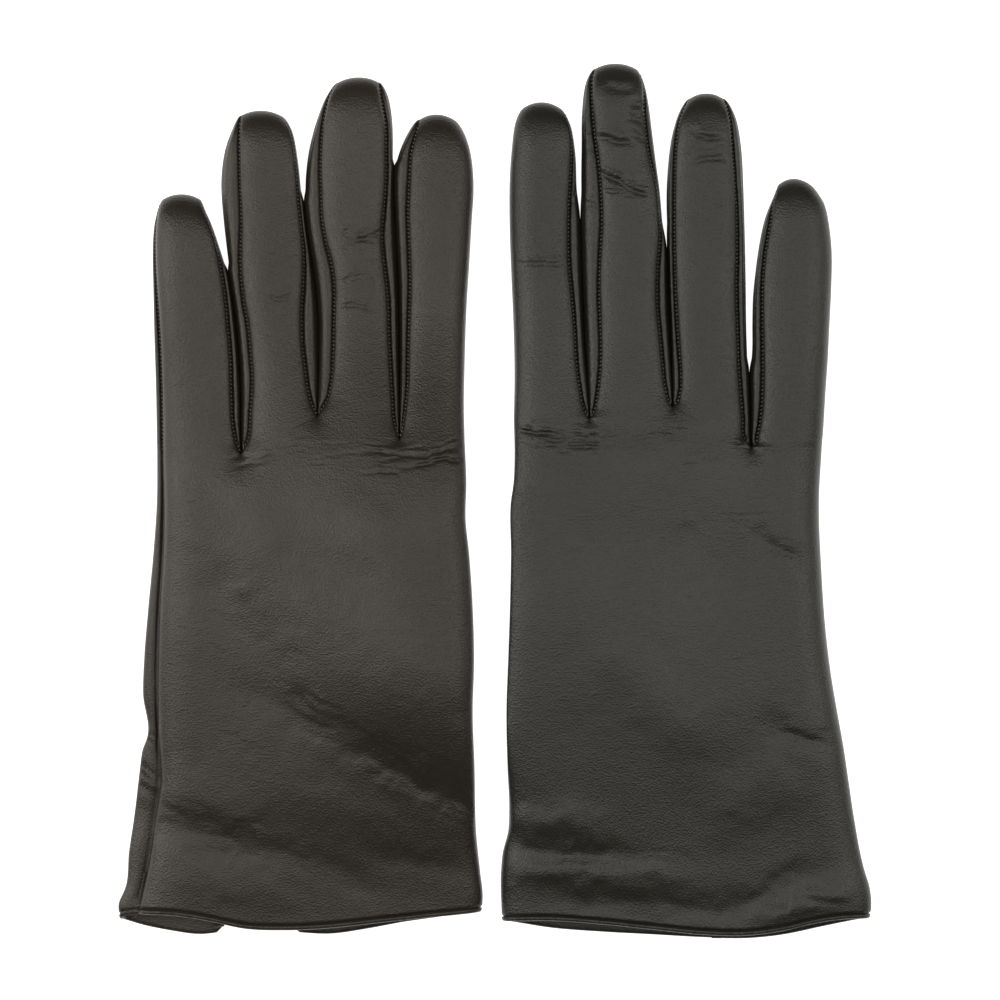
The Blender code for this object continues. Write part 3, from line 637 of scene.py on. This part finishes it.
class Glove:
    """One glove's outlines and its four fingers."""

    def __init__(self, name, spec):
        self.name, self.spec, self.turn = name, spec, TURN[name]
        starts = [spec["index"]["low"][0][0]] + [spec[f]["high"][0][0] for f in FINGERS]
        self.crotches = [(spec[f]["high"][0][1], spec[f]["high"][0][0]) for f in FINGERS[:-1]]
        self.fingers = [Finger(name, f, spec[f], starts[k:k + 2]) for k, f in enumerate(FINGERS)]
        self.sewn_on_back = spec["side_seam"] is not None
        for one, other in zip(self.fingers, self.fingers[1:]):
            one.neighbours["high"] = other
            other.neighbours["low"] = one

    def edges(self, y, face):
        """The outlines at the index and little-finger sides of the back or palm."""
        outer = "side_seam" if self.sewn_on_back and face > 0 else "little_edge"
        return curve(self.spec["index_edge"], y), curve(self.spec[outer], y)

    def dip(self, x, y):
        """How far the leather has come down to its seam, 0 to 1, near each crotch."""
        widths = [f.line("high", max(f.bases.values())) - f.line("low", max(f.bases.values()))
                  for f in self.fingers]
        down = np.zeros(np.shape(x))
        for k, (cx, cy) in enumerate(self.crotches):
            away = np.maximum(np.hypot(x - cx, y - cy), 1e-6)
            half = mix(widths[k], widths[k + 1], (1 + (x - cx) / away) / 2) / 2
            down = np.maximum(down, 1 - rounding(np.clip(1 - away / half, 0, 1), PANEL_POWER))
        return down

    def vent_opening(self, y, hem):
        """Half the width of the slit in the palm."""
        return self.spec["vent"][1] * np.clip(1 - (y - hem) / VENT_LENGTH, 0, 1)


def body_rows(profile, hem, top):
    """The y of each row of the hand: close at the hem and under the crotches, wider between."""
    distance = np.array([d for d, _ in profile])[:, None]
    near, close = KNUCKLE_ROWS
    start, end = hem + profile[-1][0], top - near
    middle = mix(start, end, np.linspace(0, 1, BODY_ROWS + 1)[1:, None])
    return np.vstack([hem + distance, middle, top - np.arange(0, near, close)[::-1][:, None]])


def hem_profile():
    """The turned hem, from its hidden end to the seam: distance from the edge, depth below the face."""
    under = [(distance, FACING) for distance in FACING_STATIONS]
    roll = []
    for step in range(1, HEM_ROLL_STEPS):
        turn = math.pi * step / HEM_ROLL_STEPS
        roll.append((HEM_ROLL * (1 - math.sin(turn)), FACING * (1 + math.cos(turn)) / 2))
    return under + roll + INTO_HEM_SEAM


def body_face(glove, face, columns, profile):
    """The back (1) or palm (-1) of the hand up to the crotches, and which columns touch the vent."""
    tops = [panel(f, face, columns) for f in glove.fingers]
    _, pad = padded(columns)
    top_x = np.concatenate([t[0][0][min(k, 1):] for k, t in enumerate(tops)])
    top_y = np.concatenate([t[1][0][min(k, 1):] for k, t in enumerate(tops)])
    pads = np.concatenate([pad[min(k, 1):] for k in range(len(FINGERS))])
    order = np.arange(len(top_x))
    outer = (order < columns // 2) | (order >= len(top_x) - columns // 2)
    low, high = glove.edges(top_y, face)
    share = (top_x - low) / (high - low)
    share = share / share[-1]

    hem_stations = glove.spec["hem_back" if face > 0 else "hem_palm"]
    vent_at, vent_half = glove.spec["vent"]
    hem_x = mix(hem_stations[0][0], hem_stations[-1][0], share)
    from_vent = np.abs(hem_x - vent_at)
    vent_column = int(np.argmin(from_vent))
    if face > 0:
        hem = curve(hem_stations, hem_x)
    else:
        parted = vent_half * (1 - smooth(from_vent / (VENT_SPREAD * vent_half)))
        hem = curve(hem_stations, hem_x + np.where(order > vent_column, 1, -1) * parted)
        corner = np.clip(1 - (from_vent + parted - vent_half) / VENT_CORNER, 0, 1)
        hem = hem + VENT_CORNER * (1 - np.sqrt(1 - corner**2)) * (vent_half > 1)
    y = body_rows(profile, hem, top_y)
    rows = len(y) - len(profile)
    inset = np.concatenate([[i for _, i in profile], np.full(rows, profile[-1][1])])[:, None]

    low, high = glove.edges(y, face)
    x = mix(low + inset, high - inset, share)
    down = glove.dip(x, y)
    down[-1][~outer] = 1 - pads[~outer]
    down = np.where(outer, np.maximum(1 - pads, 0), down)
    if face > 0:
        side = np.where(order < columns // 2, 0.5, SIDE_SEAM if glove.sewn_on_back else 0.5)
        end, crown = np.where(outer, side, BACK_SEAM), 1.0
    else:
        end, crown = np.where(outer, 0.5, PALM_SEAM), 0.0
    z = height(glove.name, x, y, mix(crown, end, down), inset)
    if face > 0:
        z = z + relief(glove.name, x, y) * smooth((1 - down) * RELIEF_REACH)
    if face > 0 and glove.sewn_on_back:
        tucked = side_groove(y[:, -1], hem[-1])
        x, y, z = (np.column_stack([a, a[:, -1]]) for a in (x, y, z))
        z[:, -1] -= tucked
    return x, y, z, vent_column


def open_vent(glove, arrays, column):
    """The palm in two halves, parted at the vent, each with its slit edge turned in."""
    x, y, z = arrays
    hem = y.min(axis=0)[column]
    opening = glove.vent_opening(y, hem)
    centre = x[:, column:column + 1]
    spread = glove.spec["vent"][1] * VENT_SPREAD
    halves = []
    for part, side in ((slice(0, column + 1), -1), (slice(column, None), 1)):
        fade = 1 - smooth(np.abs(x[:, part] - centre) / spread)
        moved = x[:, part] + side * opening[:, part] * fade
        halves.append([moved, y[:, part], z[:, part]])
    for half, side, edge in ((halves[0], 1, -1), (halves[1], -1, 0)):
        turned = smooth(opening[:, column] / min(1.5, 0.6 * glove.spec["vent"][1]))
        lips = []
        for across, up in VENT_LIPS:
            shift = side * np.minimum(across * turned, 0.8 * opening[:, column])
            lips.append((half[0][:, edge] + shift, half[1][:, edge], half[2][:, edge] + up * turned))
        if side < 0:
            lips = lips[::-1]
            pieces = [np.column_stack([lip[k] for lip in lips] + [half[k]]) for k in range(3)]
        else:
            pieces = [np.column_stack([half[k]] + [lip[k] for lip in lips]) for k in range(3)]
        half[:] = pieces
    return halves


class Thumb:
    """The thumb lies folded under the palm, along a slanted line."""

    def __init__(self):
        dx, dy = THUMB_TIP[0] - THUMB_ROOT[0], THUMB_TIP[1] - THUMB_ROOT[1]
        self.length = math.hypot(dx, dy)
        self.along = (dx / self.length, dy / self.length)
        self.shoulder = self.length - THUMB_TIP_LENGTH
        root, middle, end = THUMB_HALF_WIDTHS
        self.half = ((0.0, root), (self.length / 2, middle), (self.shoulder, end))

    def axis(self, s):
        """The point at s along the thumb's middle line."""
        return THUMB_ROOT[0] + s * self.along[0], THUMB_ROOT[1] + s * self.along[1]

    def section(self, s, angle, inset, turn=0.0):
        """A ring of the thumb at s along it, or past the shoulder at turn round the tip."""
        half = curve(self.half, np.array([s]))[0] - inset
        middle = mix(THUMB_BASE_THICK, THUMB_THICK, smooth((s - THUMB_HINGE) / THUMB_SWELL)) / 2
        narrowing = math.cos(turn) ** (2 / THUMB_POWER)
        tall = (middle - inset) * narrowing
        half = half * mix(THUMB_TIP_WIDTH, 1, narrowing)
        across, up = np.cos(angle), np.sin(angle)
        v = half * np.sign(across) * np.abs(across) ** (2 / THUMB_POWER)
        z = middle + tall * np.sign(up) * np.abs(up) ** (2 / THUMB_POWER)
        reach = THUMB_TIP_LENGTH - inset
        behind = THUMB_TIP_ARCH * reach * (v / max(half, 1e-6)) ** 2 * math.sin(turn) ** 3
        x, y = self.axis(s + reach * math.sin(turn) - behind)
        return x + v * self.along[1], y - v * self.along[0], z

    def ring(self, angle, inset):
        """The seam in the palm, round the hole that the thumb comes out of."""
        across, up = np.cos(angle), np.sin(angle)
        half_x, half_y = THUMB_RING_HALF
        power = 2 / THUMB_RING_POWER
        x = THUMB_ROOT[0] + (half_x - inset) * np.sign(across) * np.abs(across) ** power
        y = THUMB_ROOT[1] + (half_y - inset) * np.sign(up) * np.abs(up) ** power
        return x, y, lie(x, y) - THUMB_RING_CLEAR + inset

    def tube(self, inset, with_root):
        """Rings from the palm to the tip, as arrays with a closing column."""
        angle = np.linspace(0, 2 * math.pi, THUMB_COLUMNS + 1)
        start = THUMB_HINGE - 2.0 if with_root else THUMB_HINGE + 0.5
        rings = []
        if with_root:
            ring, end = self.ring(angle, inset), self.section(start, angle, inset)
            for t in np.linspace(0, 1, THUMB_ROOT_ROWS, endpoint=False):
                inwards = (smooth(t) + t) / 2
                fall = np.where(np.sin(angle) < 0, t * t, t)
                shares = (inwards, t, fall)
                rings.append(tuple(mix(a, b, u) for a, b, u in zip(ring, end, shares)))
        for s in np.arange(start, self.shoulder, 0.8):
            rings.append(self.section(s, angle, inset))
        for turn in np.linspace(0, math.pi / 2, 14):
            rings.append(self.section(self.shoulder, angle, inset, turn))
        return tuple(np.array([r[k] for r in rings]) for k in range(3))

    def inside_ring(self, x, y):
        """Which points of the palm lie in the hole, whose edge is hidden a little way inside the ring."""
        u = (x - THUMB_ROOT[0]) / (THUMB_RING_HALF[0] - THUMB_HOLE_INSET)
        v = (y - THUMB_ROOT[1]) / (THUMB_RING_HALF[1] - THUMB_HOLE_INSET)
        return np.abs(u) ** THUMB_RING_POWER + np.abs(v) ** THUMB_RING_POWER < 1


def thumb_leather(thumb):
    """The thumb's skin, with a seam sunk along each side, and slack folds."""
    x, y, z = thumb.tube(0.0, True)
    angle = np.linspace(0, 2 * math.pi, THUMB_COLUMNS + 1)
    slack = lattice(31)
    sides = np.abs(np.sin(angle))
    sunk = THUMB_SEAM_DEPTH * np.exp(-((sides / THUMB_SEAM_WIDTH) ** 2))
    across = np.sign(np.cos(angle))
    x = x - across * sunk * thumb.along[1]
    y = y + across * sunk * thumb.along[0]
    folds = THUMB_SLACK * slack(x / 9, y / 9) * np.clip(-np.sin(angle), 0, 1)
    return x, y, np.maximum(z - np.minimum(folds, 0.0), TABLE_CLEAR)


class Sheet:
    """A mesh gathered from grids of points."""

    def __init__(self, turn):
        self.turn = turn  # -1 on the mirrored glove
        self.points, self.faces, self.count = [], [], 0

    def add(self, x, y, z, outward, hole=None):
        """outward is 1 where rows x columns run anticlockwise seen from outside."""
        rows, columns = x.shape
        ids = np.arange(rows * columns).reshape(rows, columns) + self.count
        quads = np.stack([ids[:-1, :-1], ids[:-1, 1:], ids[1:, 1:], ids[1:, :-1]], -1).reshape(-1, 4)
        if hole:
            middle_x = (x[:-1, :-1] + x[1:, 1:]) / 2
            middle_y = (y[:-1, :-1] + y[1:, 1:]) / 2
            quads = quads[~hole(middle_x, middle_y).reshape(-1)]
        if outward * self.turn < 0:
            quads = quads[:, ::-1]
        self.points.append(np.stack([x * self.turn, y, z], -1).reshape(-1, 3))
        self.faces.append(quads)
        self.count += rows * columns

    def build(self, name, material, slot, side=None):
        points, quads = np.concatenate(self.points), np.concatenate(self.faces)
        used = np.unique(quads)
        renumber = np.zeros(len(points), int)
        renumber[used] = np.arange(len(used))
        points, quads = points[used], renumber[quads]
        _, first, index = np.unique(np.round(points, 3), axis=0, return_index=True, return_inverse=True)
        quads = index.reshape(-1)[quads]
        faces = []
        for quad in quads.tolist():
            face = [v for k, v in enumerate(quad) if v != quad[k - 1]]
            if len(set(face)) == len(face) >= 3:
                faces.append(face)
        points = points[first]
        mesh = bpy.data.meshes.new(name)
        mesh.from_pydata((points * MM).tolist(), [], faces)
        mesh.shade_smooth()
        if side:
            worn = mesh.attributes.new("wear", "FLOAT", "POINT")
            worn.data.foreach_set("value", wear(side, points[:, 0] * self.turn, points[:, 1]))
        mesh.materials.append(material)
        return place_piece(name, mesh)


def place_piece(name, mesh):
    obj = bpy.data.objects.new(name, mesh)
    bpy.context.scene.collection.objects.link(obj)
    return obj


def ball():
    """A twenty-sided ball of radius 1: its points and its sides."""
    t = (1 + 5**0.5) / 2
    corners = [(-1, t, 0), (1, t, 0), (-1, -t, 0), (1, -t, 0), (0, -1, t), (0, 1, t), (0, -1, -t),
               (0, 1, -t), (t, 0, -1), (t, 0, 1), (-t, 0, -1), (-t, 0, 1)]
    sides = [(0, 11, 5), (0, 5, 1), (0, 1, 7), (0, 7, 10), (0, 10, 11), (1, 5, 9), (5, 11, 4), (11, 10, 2),
             (10, 7, 6), (7, 1, 8), (3, 9, 4), (3, 4, 2), (3, 2, 6), (3, 6, 8), (3, 8, 9), (4, 9, 5),
             (2, 4, 11), (6, 2, 10), (8, 6, 7), (9, 8, 1)]
    return np.array(corners) / math.sqrt(1 + t * t), sides


def stitches(name, paths, turn, material):
    """Short tight stitches laid along paths of points, each slanted across its path."""
    shape, sides = ball()
    order = (0, 1, 2) if turn > 0 else (2, 1, 0)
    points, faces = [], []
    for path in paths:
        run = np.concatenate([[0], np.cumsum(np.linalg.norm(np.diff(path, axis=0), axis=1))])
        for place in np.arange(STITCH_PITCH / 2, run[-1] - STITCH_LOOK, STITCH_PITCH):
            centre = np.array([np.interp(place, run, path[:, k]) for k in range(3)])
            ahead = np.array([np.interp(place + STITCH_LOOK, run, path[:, k]) for k in range(3)])
            along = (ahead - centre) / max(np.linalg.norm(ahead - centre), 1e-9)
            across = np.cross(along, (0, 0, 1.0))
            across = across / max(np.linalg.norm(across), 1e-9)
            lean = along * math.cos(STITCH_TILT) + across * math.sin(STITCH_TILT)
            cross = across * math.cos(STITCH_TILT) - along * math.sin(STITCH_TILT)
            axes = np.array([cross, lean, np.cross(cross, lean)]) * np.array(STITCH)[:, None]
            faces.extend([[face[i] + len(points) for i in order] for face in sides])
            points.extend((shape @ axes + centre) * (turn, 1, 1) * MM)
    mesh = bpy.data.meshes.new(name)
    mesh.from_pydata([tuple(p) for p in points], [], faces)
    mesh.shade_smooth()
    mesh.materials.append(material)
    return place_piece(name, mesh)


def seam_path(finger, side):
    """The stitches of a back seam: on the panel's edge, from the crotch to the tip."""
    ys = finger.rows()[side]
    ys = ys[(ys > finger.bases[side] + 0.2) & (ys < finger.tip - 1.5)]
    out = -1 if side == "low" else 1
    xs = finger.line(f"{side}_seam", ys) + out * 0.05
    share = SIDE_SEAM if finger.kind(side) == "back" else BACK_SEAM
    zs = finger.level(xs, ys, share) - 0.12 * finger.groove(side, ys)
    return np.column_stack([xs, ys - finger.arch(ys, 1.0), zs])


def node(tree, kind, **inputs):
    made = tree.nodes.new(kind)
    for key, value in inputs.items():
        made.inputs[key.replace("_", " ")].default_value = value
    return made


def shades(tree, dark, light, ends=(0.0, 1.0)):
    """A ramp from one colour to another."""
    ramp = tree.nodes.new("ShaderNodeValToRGB")
    for element, colour, place in zip(ramp.color_ramp.elements, (dark, light), ends):
        element.color = (*colour, 1)
        element.position = place
    return ramp


def connect(tree, links):
    """Each link is a node and its output, then a node and its input."""
    for source, output, target, entry in links:
        tree.links.new(source.outputs[output], target.inputs[entry])


def leather_material(name, base, rough):
    """Nappa: a fine pebbled grain, faint creases where the leather is worn, slow changes of shade."""
    material = bpy.data.materials.new(name)
    material.use_nodes = True
    tree = material.node_tree
    shader = tree.nodes["Principled BSDF"]
    shader.inputs["Specular IOR Level"].default_value = 0.5
    place = node(tree, "ShaderNodeTexCoord")
    pebbles = node(tree, "ShaderNodeTexVoronoi", Scale=1900.0)
    fine = node(tree, "ShaderNodeTexNoise", Scale=2400.0, Detail=2.0)
    stretch = node(tree, "ShaderNodeMapping", Scale=(420.0, 1500.0, 700.0))
    wrinkle = node(tree, "ShaderNodeTexNoise", Scale=1.0, Detail=4.0, Roughness=0.6)
    shade = node(tree, "ShaderNodeTexNoise", Scale=26.0, Detail=4.0)
    worn = node(tree, "ShaderNodeAttribute")
    worn.attribute_name = "wear"
    dark, light = [c * 0.72 for c in base], [c * w for c, w in zip(base, (1.30, 1.27, 1.20))]
    tone = shades(tree, dark, light, (0.5, 0.95))
    speckle = node(tree, "ShaderNodeMath")
    speckle.operation = "MULTIPLY_ADD"
    speckle.inputs[1].default_value = 0.45
    sheen = node(tree, "ShaderNodeMapRange", To_Min=rough + 0.06, To_Max=rough - 0.06)
    amount = node(tree, "ShaderNodeMapRange", To_Min=0.02, To_Max=0.32)
    grain = node(tree, "ShaderNodeBump", Strength=0.38, Distance=0.0002)
    hairs = node(tree, "ShaderNodeBump", Strength=0.35, Distance=0.00015)
    lines = node(tree, "ShaderNodeBump", Distance=0.0005)
    connect(tree, (
        (place, "Object", pebbles, "Vector"), (place, "Object", fine, "Vector"),
        (place, "Object", shade, "Vector"), (place, "Object", stretch, "Vector"),
        (stretch, "Vector", wrinkle, "Vector"),
        (fine, "Fac", speckle, 0), (shade, "Fac", speckle, 2), (speckle, "Value", tone, "Fac"),
        (tone, "Color", shader, "Base Color"),
        (shade, "Fac", sheen, "Value"), (sheen, "Result", shader, "Roughness"),
        (pebbles, "Distance", grain, "Height"), (fine, "Fac", hairs, "Height"),
        (wrinkle, "Fac", lines, "Height"), (worn, "Fac", amount, "Value"),
        (amount, "Result", lines, "Strength"),
        (grain, "Normal", hairs, "Normal"), (hairs, "Normal", lines, "Normal"),
        (lines, "Normal", shader, "Normal"),
    ))
    return material


def plain_material(name, colour, rough, scale, bump):
    """Thread or knit: matt, with a fine woven bump."""
    material = bpy.data.materials.new(name)
    material.use_nodes = True
    tree = material.node_tree
    shader = tree.nodes["Principled BSDF"]
    shader.inputs["Roughness"].default_value = rough
    place = node(tree, "ShaderNodeTexCoord")
    weave = node(tree, "ShaderNodeTexNoise", Scale=scale, Detail=2.0)
    tone = shades(tree, [c * 0.7 for c in colour], [c * 1.3 for c in colour])
    raised = node(tree, "ShaderNodeBump", Strength=bump, Distance=0.0002)
    connect(tree, (
        (place, "Object", weave, "Vector"), (weave, "Fac", tone, "Fac"),
        (tone, "Color", shader, "Base Color"),
        (weave, "Fac", raised, "Height"), (raised, "Normal", shader, "Normal"),
    ))
    return material


def make_body(glove, leather, thread, lining):
    """The trank, its turned hem and side seam, and the lining of the hand."""
    name, turn = glove.name, glove.turn
    palm_body = f"{name}_palm"
    thumb = Thumb()
    profile = hem_profile()
    hem_rows = len(profile)
    full = profile + OUT_OF_HEM_SEAM
    trank, hem, knit = Sheet(turn), Sheet(turn), Sheet(turn)
    paths = []

    *back, _ = body_face(glove, 1, BACK_COLUMNS, full)
    hem.add(*(a[:hem_rows] for a in back), 1)
    trank.add(*(a[hem_rows - 1:] for a in back), 1)
    stitch_row = hem_rows - 1
    paths.append(np.column_stack([a[stitch_row] for a in back]) + (0, 0, HEM_STITCH_LIFT))

    *palm, column = body_face(glove, -1, PALM_COLUMNS, full)
    for half in open_vent(glove, palm, column):
        hem.add(*(a[:hem_rows] for a in half), -1)
        trank.add(*(a[hem_rows - 1:] for a in half), -1, thumb.inside_ring)
    lips = len(VENT_LIPS) + 1
    for half, flat in zip(open_vent(glove, palm, column), (slice(0, -lips), slice(lips, None))):
        path = np.column_stack([a[stitch_row][flat] for a in half])
        paths.append(path - (0, 0, HEM_STITCH_LIFT))

    if glove.sewn_on_back:
        share = np.sin(np.linspace(0, math.pi / 2, STRIP_COLUMNS + 1))
        hems = mix(glove.spec["hem_palm"][-1][1], glove.spec["hem_back"][-1][1], share)
        y = body_rows(full, hems, np.full(len(hems), glove.fingers[-1].bases["high"]))
        inset = np.concatenate([[i for _, i in full], np.zeros(len(y) - len(full))])[:, None]
        seam = curve(glove.spec["side_seam"], y) - inset
        edge = curve(glove.spec["little_edge"], y) - inset
        depth = side_groove(y, hems)
        strip = edge_strip(name, seam, edge, y, depth, lambda x, y, share: height(name, x, y, share, inset))
        hem.add(*(a[:hem_rows] for a in strip), -1)
        trank.add(*(a[hem_rows - 1:] for a in strip), -1)
        route = np.column_stack([a[hem_rows + 2:, -1] for a in strip])
        paths.append(route + (0, 0, SIDE_STITCH_LIFT))

    piece = trank.build(f"{name}_trank", leather, "glove_leather", name)
    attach(piece, palm_body)
    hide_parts(f"{name}_trank_back", f"{name}_trank_palm")
    piece = hem.build(f"{name}_turned_hem", leather, "hem_leather")
    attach(piece, palm_body)
    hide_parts(f"{name}_cuff_binding")
    piece = stitches(f"{name}_hem_stitches", paths, turn, thread)
    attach(piece, palm_body)

    inner = [(FACING_LENGTH - 2.0, LINING_INSET), (FACING_LENGTH, LINING_INSET)]
    for face, outward in ((1, 1), (-1, -1)):
        *arrays, _ = body_face(glove, face, PALM_COLUMNS, inner)
        knit.add(*arrays, outward, thumb.inside_ring if face < 0 else None)
    piece = knit.build(f"{name}_body_lining_knit", lining, "knitted_lining")
    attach(piece, palm_body)
    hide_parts(f"{name}_lining_body")


def make_thumb(glove, leather, thread, lining):
    """The thumb's leather, its lining and its seams."""
    name, turn = glove.name, glove.turn
    palm_body, thumb_body = f"{name}_palm", f"{name}_thumb"
    thumb = Thumb()
    for s in (THUMB_HINGE - THUMB_BEND, THUMB_HINGE + THUMB_BEND):
        x, y = thumb.axis(s)

    x, y, z = thumb_leather(thumb)
    skin = Sheet(turn)
    skin.add(x, y, z, 1)
    piece = skin.build(f"{name}_thumb_leather", leather, "glove_leather")
    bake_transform(piece)
    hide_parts(f"{name}_thumb_collar", f"{name}_thumb_upper", f"{name}_thumb_lower")

    sock = Sheet(turn)
    sock.add(*thumb.tube(LINING_INSET, False), 1)
    piece = sock.build(f"{name}_thumb_lining_knit", lining, "knitted_lining")
    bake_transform(piece)
    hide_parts(f"{name}_thumb_lining")

    half = THUMB_COLUMNS // 2
    sides = [np.column_stack([a[THUMB_ROOT_ROWS:-3, k] for a in (x, y, z)]) for k in (0, half)]
    piece = stitches(f"{name}_thumb_stitches", sides, turn, thread)
    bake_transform(piece)
    angle = np.linspace(0, 2 * math.pi, 120)
    piece = stitches(f"{name}_thumb_ring_stitches", [np.column_stack(thumb.ring(angle, 0.3))], turn, thread)
    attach(piece, palm_body)


def make_finger(glove, k, leather, thread, lining):
    """Finger k: its back and palm, its fourchettes, its seams and its lining."""
    name, turn, finger = glove.name, glove.turn, glove.fingers[k]
    palm_body, body = f"{name}_palm", f"{name}_{finger.name}"
    start = max(finger.bases.values())
    x = (finger.line("low", start) + finger.line("high", start)) / 2 * turn

    tabs = Sheet(turn)
    for face, columns in ((1, BACK_COLUMNS), (-1, PALM_COLUMNS)):
        arrays = panel(finger, face, columns)
        for side in ("low", "high"):
            kind = finger.kind(side)
            if kind == "fourchette" or (kind == "back" and face > 0):
                arrays = tuck(finger, side, arrays, face)
        tabs.add(*arrays, face)
    if finger.kind("high") == "back":
        ys = np.repeat(finger.rows()["high"][:, None], STRIP_COLUMNS + 1, 1)
        seam, edge = finger.line("high_seam", ys), finger.line("high", ys)
        x, y, z = edge_strip(name, seam, edge, ys, finger.groove("high", ys), finger.level)
        tabs.add(x, y - finger.arch(y, 1.0), z, -1)
    piece = tabs.build(f"{body}_tabs", leather, "glove_leather", name)
    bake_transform(piece)
    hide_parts(f"{body}_back", f"{body}_palm")

    walls = Sheet(turn)
    nodes, paths = [], []
    for side, other in (("low", k - 1), ("high", k + 1)):
        if finger.kind(side) == "fourchette":
            walls.add(*wall(finger, side), -1 if side == "high" else 1)
            nodes.append(f"{body}_fourchette_{FINGERS[other]}_side")
        if finger.kind(side) != "fold":
            paths.append(seam_path(finger, side))
    if k < len(FINGERS) - 1:
        nodes.append(f"{name}_fourchette_root_{finger.name}_{FINGERS[k + 1]}")
    piece = walls.build(f"{body}_fourchettes", leather, "glove_leather", name)
    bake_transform(piece)
    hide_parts(*nodes)
    piece = stitches(f"{body}_stitches", paths, turn, thread)
    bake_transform(piece)

    sock = Sheet(turn)
    for face in (1, -1):
        sock.add(*panel(finger, face, PALM_COLUMNS, LINING_INSET), face)
    piece = sock.build(f"{body}_lining_knit", lining, "knitted_lining")
    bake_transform(piece)
    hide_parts(f"{body}_lining")


def make_floor():
    corners = [(FLOOR_SIZE * x, FLOOR_SIZE * y, 0) for x, y in ((-1, -1), (1, -1), (1, 1), (-1, 1))]
    mesh = bpy.data.meshes.new("floor")
    mesh.from_pydata(corners, [], [(0, 1, 2, 3)])
    floor = bpy.data.objects.new("floor", mesh)
    bpy.context.scene.collection.objects.link(floor)
    floor.location.z = -FLOOR_DROP
    material = bpy.data.materials.new("white_floor")
    material.use_nodes = True
    shader = material.node_tree.nodes["Principled BSDF"]
    shader.inputs["Base Color"].default_value = (0.9, 0.9, 0.9, 1)
    shader.inputs["Roughness"].default_value = 0.9
    shader.inputs["Specular IOR Level"].default_value = 0.1
    shader.inputs["Emission Color"].default_value = (1, 1, 1, 1)
    shader.inputs["Emission Strength"].default_value = 1.0
    mesh.materials.append(material)


def make_light(name, place, size, power):
    data = bpy.data.lights.new(name, "AREA")
    data.shape = "RECTANGLE"
    data.size, data.size_y = size
    data.energy = power
    data.color = WARM_WHITE
    light = bpy.data.objects.new(name, data)
    bpy.context.scene.collection.objects.link(light)
    light.location = place
    light.rotation_euler = (-Vector(place)).to_track_quat("-Z", "Y").to_euler()


def make_studio():
    make_floor()
    for name, place, size, power in SOFTBOXES:
        make_light(name, place, size, power)
    world = bpy.data.worlds.new("studio")
    world.use_nodes = True
    world.node_tree.nodes["Background"].inputs["Color"].default_value = (1, 1, 1, 1)
    world.node_tree.nodes["Background"].inputs["Strength"].default_value = AMBIENT
    bpy.context.scene.world = world
    bpy.context.scene.view_settings.view_transform = "Standard"


def make_camera():
    data = bpy.data.cameras.new("camera")
    data.lens = LENS
    data.sensor_width = SENSOR
    data.clip_end = 50
    camera = bpy.data.objects.new("camera", data)
    bpy.context.scene.collection.objects.link(camera)
    camera.location = (*VIEW_CENTRE, VIEW_WIDTH * LENS / SENSOR + VIEW_HEIGHT)
    bpy.context.scene.camera = camera


def main():
    thread = plain_material("black_thread", THREAD, 0.5, 3000.0, 0.4)
    lining = plain_material("black_knit", KNIT, 0.95, 1800.0, 0.8)
    for name, spec in (("left", LEFT), ("right", RIGHT)):
        glove = Glove(name, spec)
        leather = leather_material(f"{name}_nappa", NAPPA[name], NAPPA_ROUGHNESS)
        make_body(glove, leather, thread, lining)
        for k in range(len(FINGERS)):
            make_finger(glove, k, leather, thread, lining)
        make_thumb(glove, leather, thread, lining)
    make_studio()
    make_camera()


main()
